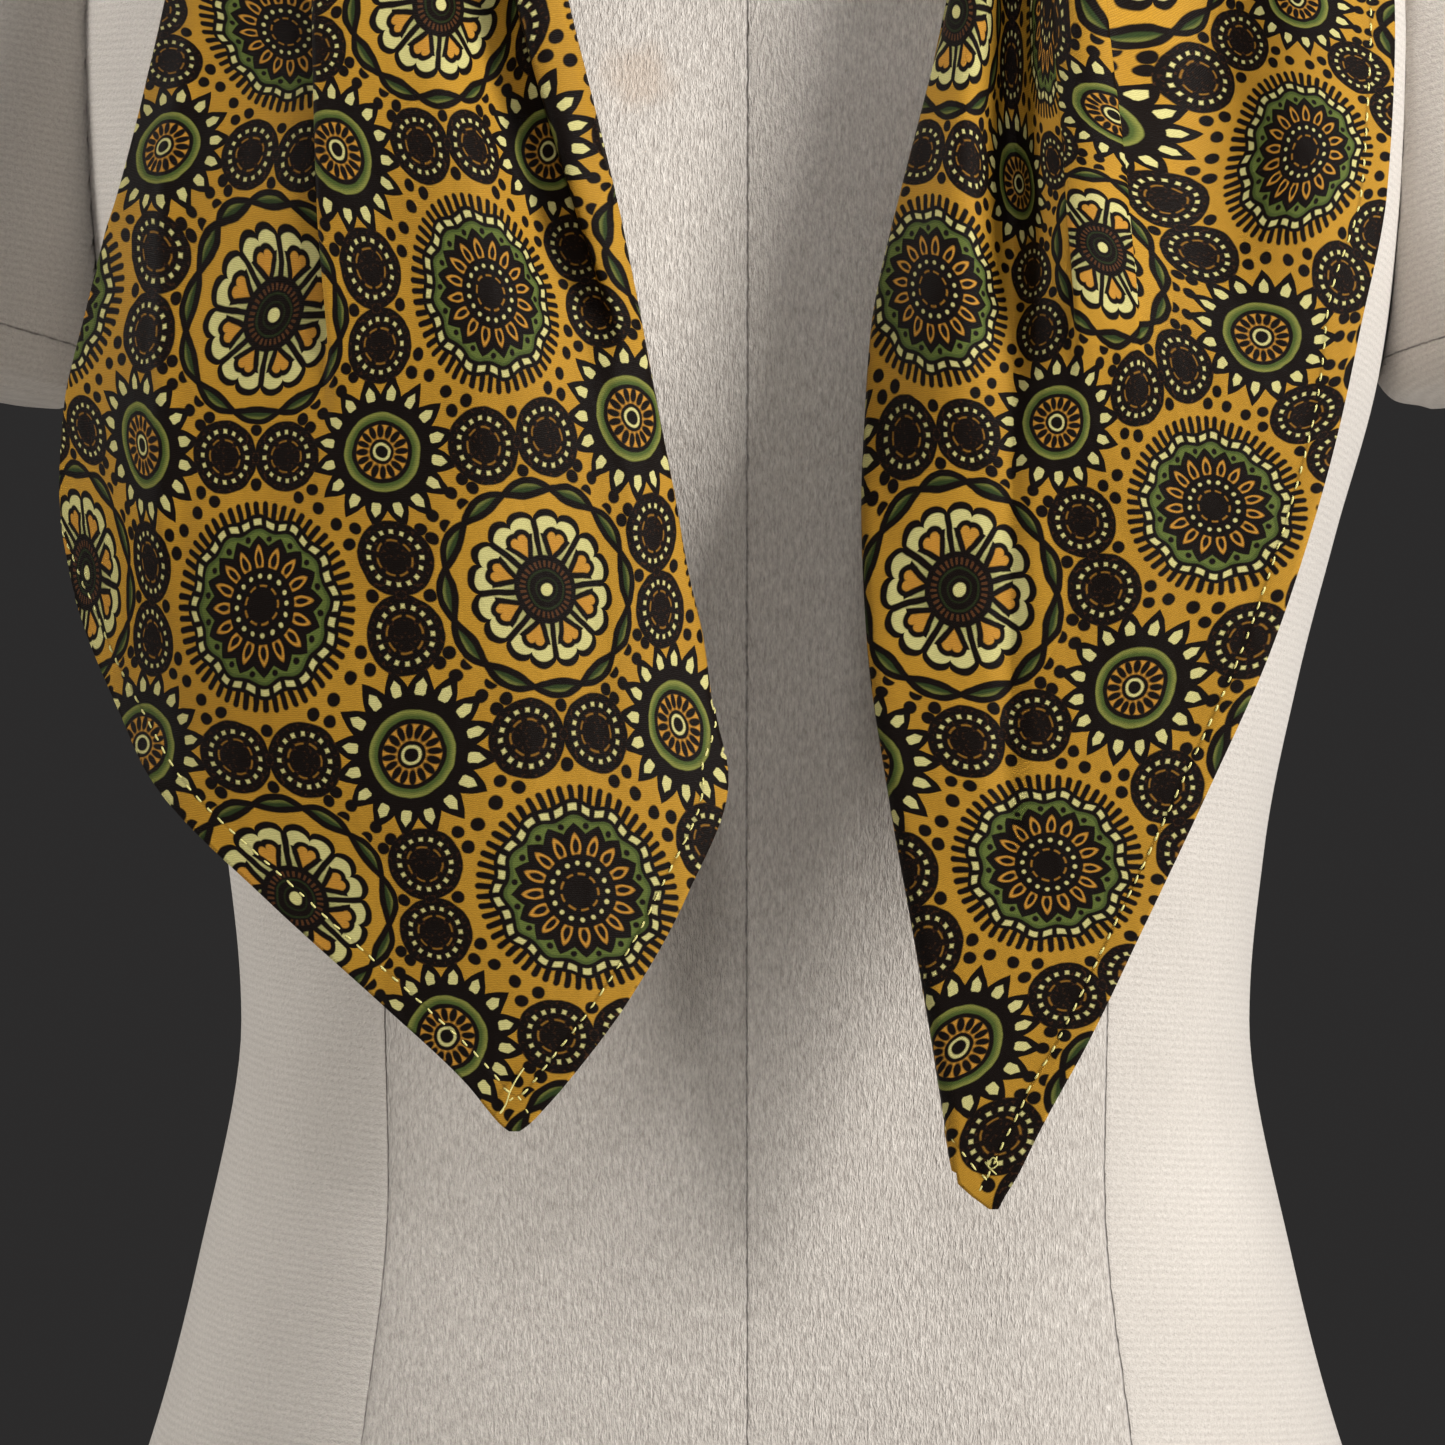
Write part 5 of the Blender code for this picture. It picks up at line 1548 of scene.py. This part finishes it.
def print_places(laid, cloth):
    """Repeat coordinates in metres from a flower's centre, and the length of cloth across each row."""
    fold = next(fold for fold in cloth.folds if fold.name == cloth.reference)
    reference = np.array([fold_place(fold, cloth.levels, z) for z in laid.heights])
    at = np.nanargmin(np.abs(laid.x - reference[:, None]), axis=1)
    row = np.arange(len(at))
    beside = reference - laid.x[row, at]
    flat_u = laid.across - (laid.across[row, at] + beside)[:, None] + (reference - cloth.tip_x)[:, None]
    flat_v = np.broadcast_to(laid.run[:, None], flat_u.shape)
    lean = np.radians(cloth.lean_degrees)
    lattice = np.stack([flat_u * np.cos(lean) + flat_v * np.sin(lean),
                        flat_v * np.cos(lean) - flat_u * np.sin(lean)], axis=-1)
    seen = seen_at(laid.grid)
    flat = np.stack([flat_u, flat_v], axis=-1)
    centres, misses = [], []
    for motif in cloth.motifs:
        away = np.hypot(seen[..., 0] - motif.px, seen[..., 1] - motif.py)
        near = np.where(away < max(MOTIF_NEAR, np.nanmin(away) + 1e-6), laid.grid[..., 1], np.inf)
        found = np.unravel_index(np.argmin(near), near.shape)
        wanted = np.array([motif.u, motif.v]) / 1000
        centres.append(flat[found])
        misses.append(wanted - lattice[found])
    centres, misses = np.array(centres), np.array(misses)
    mean = misses.mean(axis=0)
    weights = np.linalg.solve(bells(centres, centres) + STIFFNESS * np.eye(len(centres)), misses - mean)
    fixed = lattice + mean + (bells(flat.reshape(-1, 2), centres) @ weights).reshape(lattice.shape)
    print("print moved by up to", round(float(np.abs(misses - mean).max()) * 1000, 1), "mm")
    return fixed - np.array([cloth.flower_u, cloth.flower_v]) / 1000, flat_u


def hem_distance(laid, flat_u):
    """Distances from the two hems: length across a row times the cosine of the hem's slope on flat cloth."""
    real = np.isfinite(laid.x)
    row = np.arange(len(real))
    first = real.argmax(axis=1)
    last = real.shape[1] - 1 - real[:, ::-1].argmax(axis=1)
    sides = []
    for end, way in ((first, 1.0), (last, -1.0)):
        edge = flat_u[row, end]
        window = 2 * HEM_SMOOTHING + 1
        padded = np.pad(edge, HEM_SMOOTHING, mode="edge")
        smooth = np.convolve(padded, np.full(window, 1 / window), mode="valid")
        slope = np.gradient(smooth, laid.run)
        sides.append(way * (flat_u - edge[:, None]) / np.hypot(1.0, slope)[:, None])
    return sides


# %% The ends as cloth
CLOTH_THICK = 0.0005
HEM_THICK = 0.0006
HEM_STEP = 0.0008


def make_end(name, node, laid, cloth):
    """One hanging end: a shell on its laid grid, thicker where the hem is turned, with its print and hems."""
    lattice, flat_u = print_places(laid, cloth)
    left_hem, right_hem = hem_distance(laid, flat_u)
    to_hem = np.minimum(left_hem, right_hem)
    thickness = CLOTH_THICK + HEM_THICK * smooth_step((HEM_WIDTH + HEM_STEP / 2 - to_hem) / HEM_STEP)
    hem = np.stack([to_hem, 0 * to_hem], axis=-1)
    piece = cloth_shell(name, laid.grid, thickness, {"cloth": lattice, "hem": hem}, scarf_cloth)
    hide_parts(node)
    width = float(np.nanmax(laid.across))
    length = float(laid.run[-1])
    area = float(np.trapz(np.nanmax(laid.across, axis=1), laid.run))
    print(name, "is cut", round(width, 3), "by", round(length, 3), "m, area", round(area, 4))
    return piece, lattice, (left_hem, right_hem), dict(flat=(width, length), area=area)


open_end, open_print, open_hems, open_cut = make_end(
    "scarf_end_open", "scarf_open_end", open_laid, OPEN_CLOTH)
folded_end, folded_print, folded_hems, folded_cut = make_end(
    "scarf_end_folded", "scarf_folded_end", folded_laid, FOLDED_CLOTH)

# %% [markdown]
# ## The band behind the neck
#
# Between the two shoulders the scarf is gathered into a soft flat rope of folds that lies round the back of
# the neck. It is one profile carried along a path: the path runs round the form at the foot of its neck, and
# the profile is the last row of one end, which turns slowly into the last row of the other. So the folds run
# on without a break, and the print runs on with them, because a half turn of this print fits on itself.

# %% Profiles of the band
BAND_PLACE = 18.45
BAND_PLACE_BEHIND = 18.20
BAND_ROWS = 190
BAND_COLUMNS = 200
BAND_PLACES = np.linspace(len(FORM) - 9, len(FORM) - 1, 1200)
BAND_CLEARANCE = 0.0009
BAND_LOOSE = 0.0016
BAND_TIED_SHARE = 0.12
BAND_FREE_HEIGHT = 0.004


def band_profile(grid_row, print_row, angle):
    """A row as seen along the band: distance up the form from the band's middle, and height off the form.

    Each point is dropped on the form's own section at that angle, to the nearest of many places along it.
    """
    real = np.isfinite(grid_row[:, 0])
    row = grid_row[real]
    section = form_point(BAND_PLACES, angle)
    outward = form_normal(BAND_PLACES, angle)
    run = lengths_along(section)
    nearest = np.linalg.norm(row[:, None] - section[None], axis=2).argmin(axis=1)
    height = ((row - section[nearest]) * outward[nearest]).sum(axis=1)
    up = run[nearest] - np.interp(BAND_PLACE, BAND_PLACES, run)
    along = lengths_along(row)
    share = np.linspace(0, along[-1], BAND_COLUMNS)
    return points_at(share, along, np.column_stack([up, height, print_row[real]]))


def soft_folds(turn, share):
    """Slow folds that run along the band and drift across it: a few waves of uneven length and place."""
    waves = ((7.0, 1.3, 0.4), (11.0, -1.9, 2.1), (17.0, 0.8, 4.4))
    return sum(np.sin(count * share * np.pi + drift * turn * 2 + phase) / count * 5
               for count, drift, phase in waves)


# %% The band as cloth
def make_band():
    """One profile carried round the neck, which turns from the right end's last row into the left end's."""
    right = band_profile(folded_laid.grid[-1], folded_print[-1], 0.0)
    left = band_profile(open_laid.grid[-1], open_print[-1], np.pi)[::-1]
    turn = np.linspace(0, 1, BAND_ROWS)[:, None]
    angle = turn * np.pi
    blend = smooth_step(turn)
    share = np.linspace(0, 1, BAND_COLUMNS)[None, :]
    up = right[:, 0] * (1 - blend) + left[:, 0] * blend
    height = right[:, 1] * (1 - blend) + left[:, 1] * blend
    free = smooth_step(turn / BAND_TIED_SHARE) * smooth_step((1 - turn) / BAND_TIED_SHARE)
    height = height + BAND_LOOSE * free * soft_folds(turn, share) * smooth_step(height / BAND_FREE_HEIGHT)
    height = np.maximum(height, BAND_CLEARANCE)
    section = form_point(BAND_PLACES[None, :], angle)
    run = lengths_along(section)
    middle_place = BAND_PLACE + (BAND_PLACE_BEHIND - BAND_PLACE) * np.sin(angle)
    all_places = np.broadcast_to(BAND_PLACES, run.shape)
    middle = each_row(all_places, run, middle_place)
    place = each_row(run, all_places, middle + up)
    grid = form_point(place, angle) + form_normal(place, angle) * height[..., None]
    grid[[0, -1], :, 1] = 0.0
    length = lengths_along(grid[:, BAND_COLUMNS // 2])[:, None]
    lattice = band_print(right, left, length, blend)
    hem = np.full((*lattice.shape[:2], 2), (1.0, 0.0))
    piece = cloth_shell("scarf_band", grid, np.full(place.shape, CLOTH_THICK),
                        {"cloth": lattice, "hem": hem}, scarf_cloth)
    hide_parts("scarf_neck_band")
    cut = (float(lengths_along(grid[BAND_ROWS // 2])[-1]), float(length[-1, 0]))
    print("the band's cloth is", round(cut[0], 3), "m wide and", round(cut[1], 3), "m long")
    return piece, dict(flat=cut)


def band_print(right, left, length, blend):
    """Repeat places along the band: each end's own run on up its lean, and the two are blended.

    The other end's places are turned by half a turn and moved by whole repeats until both agree best midway.
    """
    repeat = PITCH / 1000

    def carried(profile, cloth, run):
        """An end's last row of places, moved on by a length along the direction in which the end leans."""
        lean = np.radians(cloth.lean_degrees)
        return profile[None, :, 2:] + run[..., None] * np.array([np.sin(lean), np.cos(lean)])

    ours = carried(right, FOLDED_CLOTH, length)
    theirs = -carried(left, OPEN_CLOTH, length[-1] - length)
    gap = (ours - theirs)[BAND_ROWS // 2, BAND_COLUMNS // 2]
    steps = np.round([(gap[0] + gap[1]) / (2 * repeat), (gap[0] - gap[1]) / (2 * repeat)])
    theirs = theirs + np.array([steps[0] + steps[1], steps[0] - steps[1]]) * repeat
    return ours * (1 - blend[..., None]) + theirs * blend[..., None]


band, band_cut = make_band()

# %% [markdown]
# ## Hem stitches and loose threads
#
# The hems are sewn with pale thread, five millimetres inside the edge. Each stitch is a small capsule whose
# ends dip into the cloth. Hundreds of them follow the hem, so they are worked out together: the line is cut
# into even lengths, and one capsule's rings are placed at all of them at once. At both tips the thread ends
# hang out a little.

# %% Stitches
STITCH_PITCH = 0.0034
STITCH_LENGTH = 0.0026
STITCH_RADIUS = 0.00024
STITCH_SIDES = 6
STITCH_RINGS = 7


def hem_line(laid, hems, side):
    """Points and outward directions on the sewing line, one for each row that is wide enough for it."""
    grid = laid.grid
    normal = unit(np.cross(np.gradient(grid, axis=1), np.gradient(grid, axis=0)))
    way = 1 if side == 0 else -1
    points, outward = [], []
    for row in range(len(grid)):
        ok = np.isfinite(hems[side][row]) & np.isfinite(grid[row, :, 0]) & np.isfinite(normal[row, :, 0])
        inwards = hems[side][row][ok] * way
        target = HEM_WIDTH * way
        if ok.any() and inwards.min() <= target <= inwards.max():
            points.append(points_at(target, inwards, grid[row, ok]))
            outward.append(points_at(target, inwards, normal[row, ok]))
    return np.array(points), unit(np.array(outward))


def spaced(points, values, step):
    """A polyline's points and other values at even steps along it."""
    run = lengths_along(points)
    at = np.arange(step / 2, run[-1], step)
    return points_at(at, run, points), unit(points_at(at, run, values))


def capsules(centres, along, outward, seed):
    """Rings round each stitch's axis: radius root(1 - t^4), bowed by a parabola so that both ends dip."""
    rng = np.random.default_rng(seed)
    t = np.linspace(-1, 1, STITCH_RINGS)
    turn = np.linspace(0, 2 * np.pi, STITCH_SIDES, endpoint=False)
    beside = np.cross(along, outward)
    length = STITCH_LENGTH * rng.uniform(0.8, 1.1, (len(centres), 1, 1, 1))
    lean = rng.uniform(-0.12, 0.12, (len(centres), 1))
    along = unit(along + beside * lean)
    beside = np.cross(along, outward)
    radius = (STITCH_RADIUS * np.sqrt(1 - 0.98 * t**4))[None, :, None, None]
    bow = (STITCH_RADIUS * (0.9 - 2.2 * t**2))[None, :, None, None]
    ring = (np.cos(turn)[None, None, :, None] * beside[:, None, None, :]
            + np.sin(turn)[None, None, :, None] * outward[:, None, None, :])
    axis = t[None, :, None, None] * length / 2 * along[:, None, None, :] + bow * outward[:, None, None, :]
    return centres[:, None, None, :] + axis + ring * radius


def capsule_faces(count):
    """Quads between the rings of every capsule, and a flat face over each of its small ends."""
    side = np.arange(STITCH_SIDES)
    ring = np.arange(STITCH_RINGS - 1)[:, None] * STITCH_SIDES
    ahead = (side + 1) % STITCH_SIDES
    quads = np.stack(np.broadcast_arrays(ring + side, ring + side + STITCH_SIDES, ring + ahead + STITCH_SIDES,
                                         ring + ahead), axis=-1).reshape(-1, 4)
    last = (STITCH_RINGS - 1) * STITCH_SIDES
    first = (np.arange(count) * STITCH_SIDES * STITCH_RINGS)[:, None]
    ends = np.concatenate([first + side, first + last + side[::-1]])
    return [(first[:, :, None] + quads[None]).reshape(-1, 4), ends]


def make_stitches(name, laid, hems, seed):
    """The stitches of both hems of one end, on the cloth's outer skin."""
    lines = []
    for side in (0, 1):
        points, outward = hem_line(laid, hems, side)
        centres, normal = spaced(points, outward, STITCH_PITCH)
        along = unit(np.gradient(centres, axis=0))
        along = unit(along - normal * (along * normal).sum(axis=1, keepdims=True))
        centres = centres + normal * CLOTH_THICK / 2
        lines.append(capsules(centres, along, normal, seed + side))
    rings = np.concatenate(lines)
    points = rings.reshape(-1, 3)
    piece = make_piece(name, points, capsule_faces(len(rings)), {}, sewing_thread)
    print(len(rings), "stitches")
    return piece


open_stitches = make_stitches("hem_stitches_open_end", open_laid, open_hems, seed=3)
folded_stitches = make_stitches("hem_stitches_folded_end", folded_laid, folded_hems, seed=8)

# %% Loose threads
THREAD_RADIUS = 0.00016
ThreadPoint = namedtuple("ThreadPoint", "px py out")
OPEN_THREAD = (
    ThreadPoint(524, 1068, 0.0), ThreadPoint(516, 1080, 0.0010), ThreadPoint(510, 1092, 0.0016),
    ThreadPoint(506, 1104, 0.0012), ThreadPoint(500, 1113, 0.0010),
)
FOLDED_THREAD = (
    ThreadPoint(985, 1162, 0.0), ThreadPoint(991, 1168, 0.0016), ThreadPoint(997, 1163, 0.0020),
    ThreadPoint(993, 1157, 0.0014), ThreadPoint(988, 1165, 0.0010), ThreadPoint(996, 1174, 0.0012),
)


def on_cloth(laid, marks):
    """Points of the cloth that show at given pixels, moved towards the viewer by their own amounts."""
    seen = seen_at(laid.grid)
    points = []
    for mark in marks:
        away = np.hypot(seen[..., 0] - mark.px, seen[..., 1] - mark.py)
        front = laid.grid[np.unravel_index(np.nanargmin(away), away.shape)]
        metres_per_pixel = (front[1] - CAMERA_PLACE[1]) / FOCAL_PIXELS
        x = CAMERA_PLACE[0] + (mark.px - PHOTO_SIZE / 2) * metres_per_pixel
        z = CAMERA_PLACE[2] - (mark.py - PHOTO_SIZE / 2) * metres_per_pixel
        points.append((x, front[1] - CLOTH_THICK - mark.out, z))
    return np.array(points)


def make_thread_end(name, laid, marks):
    """A round tube along a smooth path through a few points."""
    known = on_cloth(laid, marks)
    fine = np.linspace(0, len(known) - 1, 48)
    path = np.stack([smooth_curve(range(len(known)), known[:, axis], fine) for axis in range(3)], axis=1)
    along = unit(np.gradient(path, axis=0))
    beside = unit(np.cross(along, np.array([0.0, 1.0, 0.0]) + 1e-3))
    third = np.cross(along, beside)
    turn = np.linspace(0, 2 * np.pi, 9)[::-1]
    round_it = np.cos(turn)[:, None] * beside[:, None] + np.sin(turn)[:, None] * third[:, None]
    rings = path[:, None] + THREAD_RADIUS * round_it
    piece = closed_rings(name, rings, {}, path[0], path[-1], sewing_thread)
    return piece


open_thread = make_thread_end("loose_thread_open_end", open_laid, OPEN_THREAD)
folded_thread = make_thread_end("loose_thread_folded_end", folded_laid, FOLDED_THREAD)
